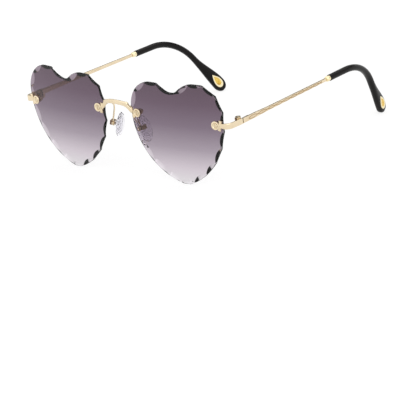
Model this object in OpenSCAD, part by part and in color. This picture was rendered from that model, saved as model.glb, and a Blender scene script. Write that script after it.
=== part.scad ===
// Rimless heart shaped sunglasses, standing on the lens points and the temple tips with the temples open.
// X runs to the wearer's left, Y runs back towards the ears and Z runs up from the table.
// Left is the wearer's left. Each right hand piece is its left hand piece mirrored.

/* [Lens] */
// Width of one lens across its two humps
lens_w = 56.4; // [55:0.2:59]
// Height of the lens above the table
lens_h = 52.6; // [51:0.1:55]
// Thickness of the lens
lens_t = 1.8; // [1.7:0.1:2.2]
// Radius of the curved front face
lens_front_r = 280; // [220:10:400]
// Clear distance between the two lenses
lens_gap = 18.6; // [17:0.1:20]
// Angle by which each lens turns back towards the temple
lens_wrap = 4.5; // [3:0.5:6]
// Angle by which the top of the lens leans forwards
lens_lean = 3; // [1:0.5:5]

/* [Heart outline] */
// Radius of the hump beside the temple
outer_hump_r = 15.3; // [14.5:0.1:16.2]
// Radius of the hump beside the nose
inner_hump_r = 14.3; // [13.5:0.1:15]
// How much lower the nose hump is than the temple hump
inner_hump_drop = 0.75; // [0:0.05:1.5]
// Radius of the dip between the humps
dip_r = 6; // [5:0.1:9]
// Radius of the long side beside the temple
outer_side_r = 38.2; // [34:0.2:44]
// Radius of the long side beside the nose
inner_side_r = 36.5; // [33:0.5:42]
// Radius of the point of the heart
point_r = 5.4; // [4.5:0.1:6.5]
// Distance of the point from the middle of the lens, away from the nose
point_shift = 0.4; // [0:0.1:1]
// Depth of the flat on which the point stands
point_flat = 0.4; // [0.2:0.05:0.6]

/* [Cut edge] */
// Number of hollow facets ground round the back edge
facet_count = 19; // [16:1:24]
// Width of a facet across its middle
facet_w = 2.3; // [2:0.1:2.8]
// Depth that a facet takes off the edge
facet_drop = 1.3; // [0.8:0.1:1.4]
// Radius of the wheel that grinds a facet
facet_wheel_r = 17; // [12:0.5:22]

/* [Lens mounts] */
// Distance of the temple side screw from the lens edge
outer_screw_inset = 4.35; // [4.2:0.05:4.8]
// Distance of the temple side screw below the top of the lens
outer_screw_drop = 19.7; // [18.5:0.1:20.5]
// Distance of the nose side screw from the lens edge
inner_screw_inset = 3.95; // [3.9:0.05:4.5]
// Distance of the nose side screw below the top of the lens
inner_screw_drop = 17.4; // [16.8:0.1:18]
// Diameter of the disc that the screw holds to the lens
disc_d = 4.5; // [4.2:0.1:5]
// Thickness of the disc and its crossbar
disc_t = 0.8; // [0.7:0.05:1]
// Length of the crossbar beside the disc
crossbar_len = 5.4; // [5:0.1:6]
// Diameter of the lens screw
screw_d = 1.4; // [1.2:0.05:1.5]
// Diameter of the lens screw's head
screw_head_d = 2.4; // [2.2:0.05:2.6]
// Height of the lens screw's head
screw_head_h = 0.45; // [0.35:0.05:0.5]
// Outer diameter of the plastic sleeve in the lens
sleeve_d = 2.2; // [2.1:0.05:2.6]
// Diameter of the washer behind the lens
washer_d = 3; // [2.8:0.1:3.2]
// Thickness of the washer
washer_t = 0.3; // [0.2:0.05:0.4]
// Width of the cap nut across its corners
nut_d = 2.8; // [2.6:0.1:3]
// Height of the cap nut's six sides
nut_h = 1.1; // [0.9:0.1:1.4]

/* [Bridge] */
// Half width of the bridge bar between its shoulders
bridge_half_w = 7; // [6.6:0.1:7.4]
// Distance of the top of the bridge below the top of the lens
bridge_drop = 11.2; // [10.6:0.1:11.6]
// How much the bar rises from the shoulders to the middle
bridge_rise = 1.4; // [1:0.1:2]
// How far the front of the bar stands forward of the lens foot at its middle
bridge_front = 5.8; // [5.4:0.1:6.2]
// How much the bar bows forward from the shoulders to the middle
bridge_bow = 1.9; // [1.4:0.1:2.4]
// Height of the bar's section
bar_h = 2.1; // [1.8:0.1:2.4]
// Depth of the bar's section
bar_t = 1.3; // [1.1:0.1:1.5]

/* [Nose pads] */
// Length of a nose pad
pad_l = 13.6; // [12:0.2:14.4]
// Width of a nose pad
pad_w = 7.2; // [6.4:0.2:7.6]
// Thickness of a nose pad
pad_t = 2.8; // [2.6:0.1:3.2]
// Distance of the pad pivot from the middle plane
pad_pivot_x = 10.4; // [10:0.1:10.8]
// Distance of the pad pivot behind the lens foot
pad_pivot_y = 3.8; // [3.4:0.1:4.4]
// Distance of the pad pivot below the top of the lens
pad_pivot_drop = 26.9; // [26.4:0.1:27.4]
// How far the pad reaches back past its pivot, from its middle
pad_shift = 2; // [1.6:0.1:2.2]
// Angle by which the pads spread apart downwards
pad_splay = 16; // [12:1:20]
// Angle by which the pads open towards the face
pad_turn = 18; // [12:1:24]
// Diameter of the pad arm wire
arm_d = 0.8; // [0.7:0.05:1]

/* [Endpiece and hinge] */
// Thickness of the endpiece and the temple bar
temple_t = 1.3; // [1.1:0.1:1.5]
// Height of the endpiece
endpiece_h = 2.8; // [2.6:0.1:3.2]
// How far the endpiece's outer face stands outside the widest part of the lens
endpiece_out = 4.1; // [3.8:0.1:4.6]
// Distance of the hinge axis behind the lens foot
hinge_y = 11.5; // [11.2:0.1:12.4]
// Diameter of the hinge knuckles
knuckle_d = 2.8; // [2.5:0.1:3]
// Height of the three hinge knuckles together
knuckle_h = 4.2; // [3.6:0.1:4.8]
// Diameter of the hinge screw
hinge_screw_d = 1.2; // [1:0.05:1.3]
// Diameter of the hinge screw's head
hinge_head_d = 2; // [1.8:0.1:2.2]

/* [Temple] */
// Length of the temple bar from the hinge to the collar
temple_l = 67; // [64:0.2:74]
// Height of the temple bar at the hinge
temple_h = 2.5; // [2.2:0.05:3]
// Height of the temple bar at the collar
temple_end_h = 1.5; // [1.4:0.05:2]
// Angle by which the temple bar turns inwards
temple_yaw = 1.9; // [1:0.1:2.8]
// Angle by which the temple bar rises backwards
temple_rise = 1.2; // [0.8:0.1:1.8]
// Diameter of the wire that runs into the tip
core_d = 1.2; // [1:0.05:1.3]
// Length of the collar
collar_l = 2.6; // [2:0.1:3.4]
// Diameter of the collar
collar_d = 2.8; // [2.6:0.1:3]

/* [Temple tip] */
// Length of the straight part of the tip in front of the bend
tip_straight = 13.3; // [10:0.1:16]
// Length of the tip along the bend over the ear
tip_bend_l = 30.3; // [26:0.1:34]
// Angle below level at which the tip runs after the bend
tip_pitch = 55; // [50:0.5:58]
// Angle at which the tip leans inwards after the bend
tip_lean = 22.4; // [16:0.2:24]
// Thickness of the tip
tip_t = 3.7; // [3.2:0.1:4]
// Width of the tip at its start
tip_start_w = 3.3; // [3:0.1:3.5]
// Width of the paddle at the end of the tip
paddle_w = 7.2; // [6.6:0.1:7.8]
// Distance by which the paddle widens more at its back edge
paddle_shift = 1.1; // [0:0.1:1.6]
// Angle by which the paddle's faces turn away from the lean of the tip
paddle_twist = 9.5; // [0:0.5:14]
// Width of the drop shaped inlay
drop_w = 5; // [4.4:0.1:5.4]
// Length of the drop shaped inlay
drop_l = 9.4; // [8:0.1:10]

/* [Hidden] */
// Running clearance round a screw that something turns on
running_gap = 0.03;
// Clearance of a screw or wire in a plain hole
hole_gap = 0.05;
// Clearance where one piece seats on another of the same body
seat_gap = 0.02;
// Clearance in which solder holds the end of a wire
solder_gap = 0.04;
// Space between neighbouring pieces that move past each other
body_gap = 0.25;
// Space between two hinge knuckles along the pin
knuckle_gap = 0.1;
// Overrun of every cut past the face it opens
cut = 1;
// Diameter of the pad screw and of its head, and the height of the head
pad_screw_d = 0.9;
pad_screw_head_d = 1.5;
pad_screw_head_h = 0.4;
// Thickness and width of the tab that the pad screw holds
tab_t = 1;
tab_w = 1.7;
// Height of the pad box, thickness of its cheeks and of its back wall
box_h = 2.3;
cheek_t = 0.6;
box_back_t = 0.5;
// Thickness of the plate inside a nose pad
plate_t = 0.5;
// Length of a hinge leaf
leaf_l = 4.2;
// Height of the hinge screw's head
hinge_head_h = 0.5;
// Depth of the flat on which a temple tip stands
tip_foot_flat = 0.15;
// Depth of the dish in the drop shaped inlay, and the width of its rim as a share of the inlay's width
inlay_dish = 0.3;
inlay_rim_share = 0.28;
// Largest length of one straight step round the heart
outline_step = 1.6;
// Number of flats that round a sphere or a cylinder
sphere_fn = 360;
round_fn = 48;
wire_fn = 10;

gold = "#d8c08e";
smoke = "#7d7080";
clear = "#e9e9ee";
black = "#1d1b1d";
steel = "#b9b4aa";
amber = "#d99a2b";

// Vector helpers

function unit(v) = v / norm(v);

function bearing(v) = atan2(v[1], v[0]);

function mix(a, b, share) = a + (b - a) * share;

function turn_x(p, a) = [p[0], p[1] * cos(a) - p[2] * sin(a), p[1] * sin(a) + p[2] * cos(a)];

function turn_y(p, a) = [p[2] * sin(a) + p[0] * cos(a), p[1], p[2] * cos(a) - p[0] * sin(a)];

function turn_z(p, a) = [p[0] * cos(a) - p[1] * sin(a), p[0] * sin(a) + p[1] * cos(a), p[2]];

// The point where circles round a and b meet, on the left of the way from a to b

function meet(a, ra, b, rb) =
    let (d = b - a)
    let (l = norm(d))
    let (along = (ra * ra - rb * rb + l * l) / (2 * l))
    let (aside = sqrt(ra * ra - along * along))
    a + (along * d + aside * [-d[1], d[0]]) / l;

// The points of an arc round c from the bearing of p to the bearing of q, without the last one.
// turn is 1 for anticlockwise and -1 for clockwise.

function arc(c, r, p, q, turn) =
    let (start = bearing(p - c))
    let (raw = turn * (bearing(q - c) - start))
    let (sweep = raw < 0 ? raw + 360 : raw)
    let (steps = ceil(r * sweep * PI / 180 / outline_step))
    [for (i = [0 : steps - 1])
        let (a = start + turn * sweep * i / steps)
        c + r * [cos(a), sin(a)]];

// Heart outline: six arcs that run into each other, seen from behind, with x away from the nose

outer_hump_c = [lens_w / 2 - outer_hump_r, lens_h - outer_hump_r];
inner_hump_c = [inner_hump_r - lens_w / 2, lens_h - inner_hump_drop - inner_hump_r];
point_c = [point_shift, point_r - point_flat];
dip_c = meet(inner_hump_c, inner_hump_r + dip_r, outer_hump_c, outer_hump_r + dip_r);
outer_side_c = meet(point_c, outer_side_r - point_r, outer_hump_c, outer_side_r - outer_hump_r);
inner_side_c = meet(inner_hump_c, inner_side_r - inner_hump_r, point_c, inner_side_r - point_r);

point_to_outer = point_c + unit(point_c - outer_side_c) * point_r;
outer_to_hump = outer_hump_c + unit(outer_hump_c - outer_side_c) * outer_hump_r;
hump_to_dip = outer_hump_c + unit(dip_c - outer_hump_c) * outer_hump_r;
dip_to_hump = inner_hump_c + unit(dip_c - inner_hump_c) * inner_hump_r;
hump_to_inner = inner_hump_c + unit(inner_hump_c - inner_side_c) * inner_hump_r;
inner_to_point = point_c + unit(point_c - inner_side_c) * point_r;

heart = concat(
    arc(outer_side_c, outer_side_r, point_to_outer, outer_to_hump, 1),
    arc(outer_hump_c, outer_hump_r, outer_to_hump, hump_to_dip, 1),
    arc(dip_c, dip_r, hump_to_dip, dip_to_hump, -1),
    arc(inner_hump_c, inner_hump_r, dip_to_hump, hump_to_inner, 1),
    arc(inner_side_c, inner_side_r, hump_to_inner, inner_to_point, 1),
    arc(point_c, point_r, inner_to_point, point_to_outer, 1)
);

heart_n = len(heart);

function heart_at(i) = heart[i % heart_n];

// Distance round the heart from its first point to each point
heart_run = [for (i = 0, s = 0; i <= heart_n; s = s + norm(heart_at(i + 1) - heart_at(i)), i = i + 1) s];

heart_l = heart_run[heart_n];

// The middle of the foot, the last arc
foot_s = heart_l - norm(inner_to_point - point_to_outer) / 2;

function on_heart(s) =
    let (w = (s + heart_l) % heart_l)
    let (i = max([for (k = [0 : heart_n - 1]) if (heart_run[k] <= w) k]))
    mix(heart_at(i), heart_at(i + 1), (w - heart_run[i]) / (heart_run[i + 1] - heart_run[i]));

// Lens

lens_x = (lens_gap + lens_w) / 2;
lens_mid_z = lens_h / 2;
outer_screw_z = lens_h - outer_screw_drop;
inner_screw_z = lens_h - inner_screw_drop;
lens_room = lens_w / 2 + cut;

// Depth of the hollow back face behind the foremost point of the front
function back_face(x, z) =
    lens_front_r - sqrt(pow(lens_front_r - lens_t, 2) - x * x - pow(z - lens_mid_z, 2));

module on_lens() {
    translate([lens_x, 0, 0]) rotate([lens_lean, 0, lens_wrap]) children();
}

// A lens screw stands square on the front face: y runs into the lens

function screw_x(outer) = outer ? lens_w / 2 - outer_screw_inset : inner_screw_inset - lens_w / 2;

function screw_pitch(outer) = -asin(((outer ? outer_screw_z : inner_screw_z) - lens_mid_z) / lens_front_r);

function screw_yaw(outer) = asin(screw_x(outer) / (lens_front_r * cos(screw_pitch(outer))));

module at_screw(outer) {
    on_lens() translate([0, lens_front_r, lens_mid_z]) rotate([screw_pitch(outer), 0, screw_yaw(outer)])
        translate([0, -lens_front_r, 0]) children();
}

// The same placing for a point
function screw_point(outer, p) =
    let (square = turn_x(p - [0, lens_front_r, 0], screw_pitch(outer)))
    let (on_face = turn_z(square, screw_yaw(outer)) + [0, lens_front_r, lens_mid_z])
    turn_z(turn_x(on_face, lens_lean), lens_wrap) + [lens_x, 0, 0];

// A cylinder along y, from y = from to y = to
module rod(d, from, to, sides = round_fn) {
    translate([0, from, 0]) rotate([-90, 0, 0]) cylinder(d = d, h = to - from, $fn = sides);
}

// The lens without its holes: a curved sheet cut to the heart
module lens_sheet() {
    intersection() {
        translate([0, lens_front_r, lens_mid_z]) difference() {
            sphere(r = lens_front_r, $fn = sphere_fn);
            sphere(r = lens_front_r - lens_t, $fn = sphere_fn);
        }
        translate([0, lens_room / 2, 0]) rotate([90, 0, 0])
            linear_extrude(height = lens_room) polygon(heart);
    }
}

// The grinding wheel's path for one facet, at distance s round the heart
module facet_cut(s) {
    half = heart_l / facet_count / 2;
    p = on_heart(s);
    along = unit(on_heart(s + half) - on_heart(s - half));
    out = [along[1], -along[0]];
    slope = asin((p - [0, lens_mid_z]) * out / lens_front_r);
    fall = atan(facet_drop / facet_w);
    run_in = facet_w / cos(fall) + facet_w;
    run_out = facet_w;
    translate([p[0], back_face(p[0], p[1]), p[1]]) rotate([0, -bearing(out), 0])
        rotate([0, 0, slope]) translate([0, -facet_drop, 0]) rotate([0, 0, -fall])
            translate([-run_in, facet_wheel_r, 0]) rotate([0, 90, 0])
                cylinder(r = facet_wheel_r, h = run_in + run_out, $fn = 2 * round_fn);
}

module lens() {
    color(smoke) difference() {
        on_lens() difference() {
            lens_sheet();
            for (k = [0 : facet_count - 1]) facet_cut(foot_s + k * heart_l / facet_count);
        }
        for (outer = [true, false]) at_screw(outer) rod(sleeve_d + 2 * hole_gap, -cut, lens_t + cut);
        translate([lens_x - lens_room, -lens_room, -lens_room]) cube([2 * lens_room, 2 * lens_room, lens_room]);
    }
}

// Lens fasteners, each seated on the one before it along y

screw_hole_d = screw_d + 2 * hole_gap;
disc_front = -seat_gap - disc_t;
flange_t = 0.8 * washer_t;
flange_d = mix(sleeve_d, washer_d, 0.8);
sleeve_back = lens_t + seat_gap + flange_t;
washer_front = sleeve_back + seat_gap;
washer_back = washer_front + washer_t;
nut_front = washer_back + seat_gap;
nut_back = nut_front + nut_h;
dome_r = 0.4 * nut_d;

module lens_screw(outer) {
    slot_w = screw_head_d / 7;
    color(steel) at_screw(outer) difference() {
        union() {
            rod(screw_head_d, disc_front, disc_front + screw_head_h);
            rod(screw_d, disc_front + screw_head_h / 2, nut_back);
        }
        translate([-slot_w / 2, disc_front - cut, -screw_head_d])
            cube([slot_w, cut + screw_head_h / 2, 2 * screw_head_d]);
    }
}

module lens_sleeve(outer) {
    color(clear) at_screw(outer) difference() {
        union() {
            rod(sleeve_d, seat_gap, sleeve_back);
            rod(flange_d, lens_t + seat_gap, sleeve_back);
        }
        rod(screw_hole_d, -cut, sleeve_back + cut);
    }
}

module lens_washer(outer) {
    color(steel) at_screw(outer) difference() {
        rod(washer_d, washer_front, washer_back);
        rod(screw_hole_d, washer_front - cut, washer_back + cut);
    }
}

module cap_nut(outer) {
    color(gold) at_screw(outer) difference() {
        union() {
            rod(nut_d, nut_front, nut_back, 6);
            intersection() {
                translate([0, nut_back, 0]) sphere(r = dome_r, $fn = round_fn);
                rod(nut_d, nut_back - seat_gap, nut_back + dome_r + cut);
            }
        }
        rod(screw_d + 2 * seat_gap, nut_front - cut, nut_back + dome_r / 4);
    }
}

// The part of a lug that lies on the lens: a disc, a flared crossbar and a neck that runs off along x

crossbar_x = 0.6 * disc_d;
crossbar_waist = 0.2 * disc_d;
crossbar_flare = 0.34 * disc_d;
crossbar_turn = 14;

module lug(neck_to, neck_h, neck_t) {
    difference() {
        union() {
            rod(disc_d, disc_front, -seat_gap);
            translate([crossbar_x, -seat_gap, 0]) rotate([90, 0, 0]) rotate(crossbar_turn)
                linear_extrude(height = disc_t) polygon([
                    for (e = [[-1, -1], [-1, 0], [-1, 1], [1, 1], [1, 0], [1, -1]])
                        [e[0] * (e[1] == 0 ? crossbar_waist : crossbar_flare) / 2, e[1] * crossbar_len / 2]
                ]);
            translate([0, -seat_gap, 0]) rotate([90, 0, 0]) linear_extrude(height = disc_t)
                polygon([[0, -neck_h / 2], [crossbar_x, -neck_h / 2], [crossbar_x, neck_h / 2], [0, neck_h / 2]]);
            translate([0, -seat_gap, 0]) rotate([90, 0, 0]) linear_extrude(height = neck_t)
                polygon([
                    [crossbar_x, -neck_h / 2], neck_to - [0, neck_h / 2],
                    neck_to + [0, neck_h / 2], [crossbar_x, neck_h / 2]
                ]);
        }
        rod(screw_hole_d, disc_front - cut, cut);
        rod(screw_head_d + 4 * hole_gap, disc_front - cut, disc_front + screw_head_h + seat_gap);
    }
}

// Bridge

bridge_top_z = lens_h - bridge_drop;
bridge_mid_y = bar_t / 2 - bridge_front;
bow_r = (bridge_half_w * bridge_half_w + bridge_bow * bridge_bow) / (2 * bridge_bow);
rise_r = (bridge_half_w * bridge_half_w + bridge_rise * bridge_rise) / (2 * bridge_rise);
shoulder_y = bridge_mid_y + bridge_bow;
shoulder_z = bridge_top_z - bridge_rise;
shoulder_d = 1.28 * bar_h;
bridge_neck_h = 0.95 * bar_h;
bridge_neck_t = 1.7 * disc_t;
// Where the neck meets the shoulder, from the nose side screw
neck_end = [bridge_half_w, shoulder_z - shoulder_d / 2] - [for (i = [0, 2]) screw_point(false, [0, 0, 0])[i]];

// A ring seen along z with a mid radius r, a wall and a height, standing on z = 0
module band(r, wall, h) {
    difference() {
        cylinder(r = r + wall / 2, h = h, $fn = 4 * round_fn);
        translate([0, 0, -cut]) cylinder(r = r - wall / 2, h = h + 2 * cut, $fn = 4 * round_fn);
    }
}

module bridge_bar() {
    room = bridge_half_w + shoulder_d;
    intersection() {
        translate([0, bridge_mid_y + bow_r, bridge_top_z - room]) band(bow_r, bar_t, 2 * room);
        translate([0, room, bridge_top_z - bar_h / 2 - rise_r]) rotate([90, 0, 0])
            band(rise_r, bar_h, 2 * room);
        translate([-bridge_half_w, -room, bridge_top_z - room]) cube([2 * bridge_half_w, 2 * room, 2 * room]);
    }
}

module bridge_end() {
    translate([bridge_half_w, 0, shoulder_z - shoulder_d / 2])
        rod(shoulder_d, shoulder_y - bar_t / 2, shoulder_y + bar_t / 2);
    at_screw(false) mirror([1, 0, 0]) lug([-neck_end[0], neck_end[1]], bridge_neck_h, bridge_neck_t);
}

module bridge() {
    color(gold) {
        bridge_bar();
        bridge_end();
        mirror([1, 0, 0]) bridge_end();
    }
}

// Skin through a list of rings that all have the same number of points, closed at both ends. Seen from the
// last ring, each ring runs anticlockwise.

module skin(rings) {
    n = len(rings[0]);
    m = len(rings);
    sides = [for (j = [0 : m - 2]) for (i = [0 : n - 1])
        let (a = j * n + i)
        let (b = j * n + (i + 1) % n)
        each [[a, a + n, b], [b, a + n, b + n]]];
    first = [for (i = [1 : n - 2]) [0, i, i + 1]];
    last = [for (i = [1 : n - 2]) [(m - 1) * n, (m - 1) * n + i + 1, (m - 1) * n + i]];
    polyhedron(points = [for (r = rings) each r], faces = concat(sides, first, last));
}

// A round wire through a few points: each ring stands square to the way at its point

module wire(path, d) {
    last = len(path) - 1;
    skin([for (k = [0 : last])
        let (t = unit(path[min(k + 1, last)] - path[max(k - 1, 0)]))
        let (a = unit(cross([0, 1, 0], t)))
        let (b = cross(t, a))
        [for (i = [0 : wire_fn - 1])
            path[k] + d / 2 * (cos(360 * i / wire_fn) * a + sin(360 * i / wire_fn) * b)]]);
}

// A smooth way through three points and back out: a curve that leaves p towards q and reaches r

function bow(p, q, r, steps) =
    [for (k = [0 : steps]) let (u = k / steps) (1 - u) * (1 - u) * p + 2 * u * (1 - u) * q + u * u * r];

// Nose pad: the box is soldered to the arm, and the pad rocks on the pad screw

pad_pivot = [pad_pivot_x, pad_pivot_y, lens_h - pad_pivot_drop];
box_front_x = tab_w / 2;
box_slot = tab_t + 2 * body_gap;
box_y = box_slot + 2 * cheek_t;
tab_swing = tab_w / 2 + body_gap;
plate_l = 0.58 * pad_l;
plate_w = 0.45 * pad_w;
pad_back_x = tab_swing + 2 * body_gap;
pad_low = 0.09 * pad_l;
plate_front_y = -tab_t / 2;

module at_pad() {
    translate(pad_pivot) rotate([0, -pad_splay, 0]) rotate([0, 0, -pad_turn]) children();
}

// The same placing for a point
function pad_point(p) = pad_pivot + turn_y(turn_z(p, -pad_turn), -pad_splay);

module pad_box() {
    color(gold) at_pad() difference() {
        translate([-box_front_x, -box_y / 2, -box_h / 2])
            cube([box_front_x + tab_swing + box_back_t, box_y, box_h]);
        translate([-box_front_x - cut, -box_slot / 2, -box_h])
            cube([box_front_x + tab_swing + cut, box_slot, 2 * box_h]);
        rod(pad_screw_d + 2 * hole_gap, -box_y, box_y);
    }
}

module pad_screw() {
    color(steel) at_pad() difference() {
        union() {
            rod(pad_screw_d, -box_y / 2 - pad_screw_head_h / 2, box_y / 2);
            rod(pad_screw_head_d, -box_y / 2 - pad_screw_head_h - seat_gap, -box_y / 2 - seat_gap);
        }
        translate([-pad_screw_head_d / 2 - cut, -box_y / 2 - pad_screw_head_h - cut, -pad_screw_head_d / 12])
            cube([pad_screw_head_d + 2 * cut, cut + pad_screw_head_h / 2, pad_screw_head_d / 6]);
    }
}

// The stiff insert: a tab on the pad screw and a plate inside the pad
module pad_insert() {
    color(clear) at_pad() difference() {
        union() {
            rod(tab_w, -tab_t / 2, tab_t / 2);
            translate([-pad_back_x - plate_t, -tab_t / 2, -tab_w / 2])
                cube([pad_back_x + plate_t, tab_t, tab_w]);
            translate([-pad_back_x - 2 * plate_t, plate_front_y, -pad_low - plate_l / 2])
                cube([plate_t, plate_w, plate_l]);
        }
        rod(pad_screw_d + 2 * running_gap, -tab_t, tab_t);
    }
}

// Half size of the pad's oval at a share of its thickness: domed towards the nose, flat towards the box
pad_rings = [[0, 0.72], [0.07, 0.88], [0.25, 0.98], [0.45, 1], [0.65, 0.93], [0.82, 0.78], [0.94, 0.5], [1, 0.2]];
pad_sides = 28;

module pad_body() {
    skin([for (r = pad_rings)
        [for (i = [0 : pad_sides - 1])
            let (a = -360 * i / pad_sides)
            [
                -pad_back_x - r[0] * pad_t,
                r[1] * pad_w / 2 * cos(a) + pad_shift,
                r[1] * pad_l / 2 * sin(a) - pad_low
            ]]]);
}

module nose_pad() {
    color(clear) at_pad() difference() {
        pad_body();
        translate([-pad_back_x - 2 * plate_t - seat_gap, plate_front_y - seat_gap, -pad_low - plate_l / 2 - seat_gap])
            cube([plate_t + 2 * seat_gap, plate_w + 2 * seat_gap, plate_l + 2 * seat_gap]);
        translate([-pad_back_x - plate_t - cut / 4, -tab_t / 2 - seat_gap, -tab_w / 2 - seat_gap])
            cube([plate_t + cut, tab_t + 2 * seat_gap, tab_w + 2 * seat_gap]);
    }
}

// The arm leaves the back of the bridge bar, drops behind the lens edge and ends on the box's front cheek
pad_arm_x = 0.72 * bridge_half_w;
pad_arm_way = asin(pad_arm_x / (bow_r - bar_t / 2));
pad_arm_root = [
    pad_arm_x - solder_gap * sin(pad_arm_way),
    bridge_mid_y + bow_r - (bow_r - bar_t / 2 - solder_gap) * cos(pad_arm_way),
    shoulder_z - bar_h / 3
];
pad_arm_back = pad_arm_root + arm_d * [-sin(pad_arm_way), cos(pad_arm_way), 0];
pad_arm_knee = [0.86 * bridge_half_w, 2.2 * arm_d, bridge_top_z - 2.6 * bar_h];
pad_arm_end = pad_point([0, -(box_slot + cheek_t) / 2, box_h / 2 + solder_gap]);
pad_arm_hook = pad_point([0, -(box_slot + cheek_t) / 2, box_h / 2 + 2 * arm_d]);

module pad_arm() {
    color(gold) wire(concat(
        [pad_arm_root],
        bow(mix(pad_arm_root, pad_arm_back, 0.5), pad_arm_back, mix(pad_arm_back, pad_arm_knee, 0.4), 3),
        bow(mix(pad_arm_back, pad_arm_knee, 0.6), pad_arm_knee, mix(pad_arm_knee, pad_arm_hook, 0.4), 5),
        bow(mix(pad_arm_knee, pad_arm_hook, 0.8), pad_arm_hook, mix(pad_arm_hook, pad_arm_end, 0.6), 3),
        [pad_arm_end]
    ), arm_d);
}

// Endpiece: the lug turns the corner of the lens and runs back to the hinge

temple_out_x = lens_gap / 2 + lens_w + endpiece_out;
hinge_x = temple_out_x - temple_t - knuckle_d / 2 - 0.1 * knuckle_d;
hinge_z = outer_screw_z;
temple_mid_x = temple_out_x - temple_t / 2;
temple_front_y = hinge_y + 0.4 * temple_t;
endpiece_back_y = temple_front_y - body_gap;
corner_r = 2 * temple_t;
endpiece_yaw = lens_wrap + screw_yaw(true);

// Middle line of the endpiece seen from above: out along the lens, round the corner, back to the hinge
endpiece_start = screw_point(true, [outer_screw_inset + disc_t / 4, -seat_gap - temple_t / 2, 0]);
endpiece_run = (temple_mid_x - corner_r * (1 - sin(endpiece_yaw)) - endpiece_start[0]) / cos(endpiece_yaw);
endpiece_corner = [
    temple_mid_x - corner_r,
    endpiece_start[1] + endpiece_run * sin(endpiece_yaw) + corner_r * cos(endpiece_yaw)
];

module endpiece_arm() {
    steps = 8;
    line = concat(
        [[endpiece_start[0], endpiece_start[1]]],
        [for (k = [0 : steps])
            let (a = mix(endpiece_yaw - 90, 0, k / steps))
            endpiece_corner + corner_r * [cos(a), sin(a)]],
        [[temple_mid_x, endpiece_back_y]]
    );
    last = len(line) - 1;
    side = [for (k = [0 : last])
        let (t = unit(line[min(k + 1, last)] - line[max(k - 1, 0)]))
        temple_t / 2 * [t[1], -t[0]]];
    translate([0, 0, hinge_z - endpiece_h / 2]) linear_extrude(height = endpiece_h) polygon(concat(
        [for (k = [0 : last]) line[k] + side[k]],
        [for (k = [last : -1 : 0]) line[k] - side[k]]
    ));
}

module endpiece() {
    color(gold) {
        at_screw(true) lug([outer_screw_inset + disc_t, 0], 0.85 * endpiece_h, temple_t);
        endpiece_arm();
    }
}

// Hinge: two knuckles on the endpiece, one on the temple, and the screw through all three

leaf_t = 0.35 * temple_t;
leaf_h = 0.8 * endpiece_h;
leaf_off = knuckle_d / 2 + 2 * body_gap;
leaf_x = temple_mid_x - temple_t / 2 - seat_gap - leaf_t;
knuckle_step = knuckle_h / 3;

module knuckle(level) {
    translate([hinge_x, hinge_y, hinge_z + (level - 0.5) * knuckle_step + knuckle_gap / 2])
        cylinder(d = knuckle_d, h = knuckle_step - knuckle_gap, $fn = round_fn);
}

// The web that ties a knuckle to its leaf, ahead of the pin (way -1) or behind it (way 1)
module web(level, way) {
    reach = leaf_off + leaf_t;
    translate([
        hinge_x, way > 0 ? hinge_y : hinge_y - reach,
        hinge_z + (level - 0.5) * knuckle_step + knuckle_gap / 2
    ]) cube([leaf_x + leaf_t / 2 - hinge_x, reach, knuckle_step - knuckle_gap]);
}

// A leaf lies flat on the inner face of the endpiece or the temple bar
module leaf() {
    translate([0, 0, -leaf_h / 2]) cube([leaf_t, leaf_l, leaf_h]);
}

module front_hinge() {
    color(gold) difference() {
        union() {
            translate([leaf_x, hinge_y - leaf_off - leaf_l, hinge_z]) leaf();
            for (level = [-1, 1]) {
                knuckle(level);
                web(level, -1);
            }
        }
        translate([hinge_x, hinge_y, hinge_z - knuckle_h])
            cylinder(d = hinge_screw_d + 2 * seat_gap, h = 2 * knuckle_h, $fn = round_fn);
        translate([hinge_x, hinge_y, hinge_z + knuckle_h / 2 - hinge_head_h - seat_gap])
            cylinder(d = hinge_head_d + 2 * hole_gap, h = knuckle_h, $fn = round_fn);
    }
}

module temple_hinge() {
    color(gold) difference() {
        union() {
            on_way(0) translate([leaf_x - temple_mid_x, leaf_off + hinge_y - temple_front_y, 0]) leaf();
            knuckle(0);
            web(0, 1);
        }
        translate([hinge_x, hinge_y, hinge_z - knuckle_h])
            cylinder(d = hinge_screw_d + 2 * running_gap, h = 2 * knuckle_h, $fn = round_fn);
    }
}

module hinge_screw() {
    slot_w = hinge_head_d / 6;
    top = hinge_z + knuckle_h / 2;
    color(steel) difference() {
        union() {
            translate([hinge_x, hinge_y, hinge_z - knuckle_h / 2])
                cylinder(d = hinge_screw_d, h = knuckle_h - hinge_head_h / 2, $fn = round_fn);
            translate([hinge_x, hinge_y, top - hinge_head_h])
                cylinder(d = hinge_head_d, h = hinge_head_h, $fn = round_fn);
        }
        translate([hinge_x - hinge_head_d, hinge_y - slot_w / 2, top - hinge_head_h / 2])
            cube([2 * hinge_head_d, slot_w, hinge_head_h + cut]);
    }
}

// Temple: the bar, and a way s along its middle line that goes on through the tip

collar_start = temple_l;
tip_start = collar_start + collar_l;
bend_start = tip_start + tip_straight;
bend_end = bend_start + tip_bend_l;
bend_steps = 16;

function way_share(s) = min(1, max(0, (s - bend_start) / tip_bend_l));

function way_pitch(s) = mix(-temple_rise, tip_pitch, way_share(s));

function way_yaw(s) = mix(temple_yaw, tip_lean, way_share(s));

function way_dir(s) = [
    -sin(way_yaw(s)) * cos(way_pitch(s)),
    cos(way_yaw(s)) * cos(way_pitch(s)),
    -sin(way_pitch(s))
];

temple_root = [temple_mid_x, temple_front_y, hinge_z];

// The points of the bend, each one step on from the last in the direction half way between them
bend = [for (
    k = 0, p = temple_root + bend_start * way_dir(0);
    k <= bend_steps;
    p = p + tip_bend_l / bend_steps * way_dir(bend_start + (k + 0.5) * tip_bend_l / bend_steps), k = k + 1
) p];

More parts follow.
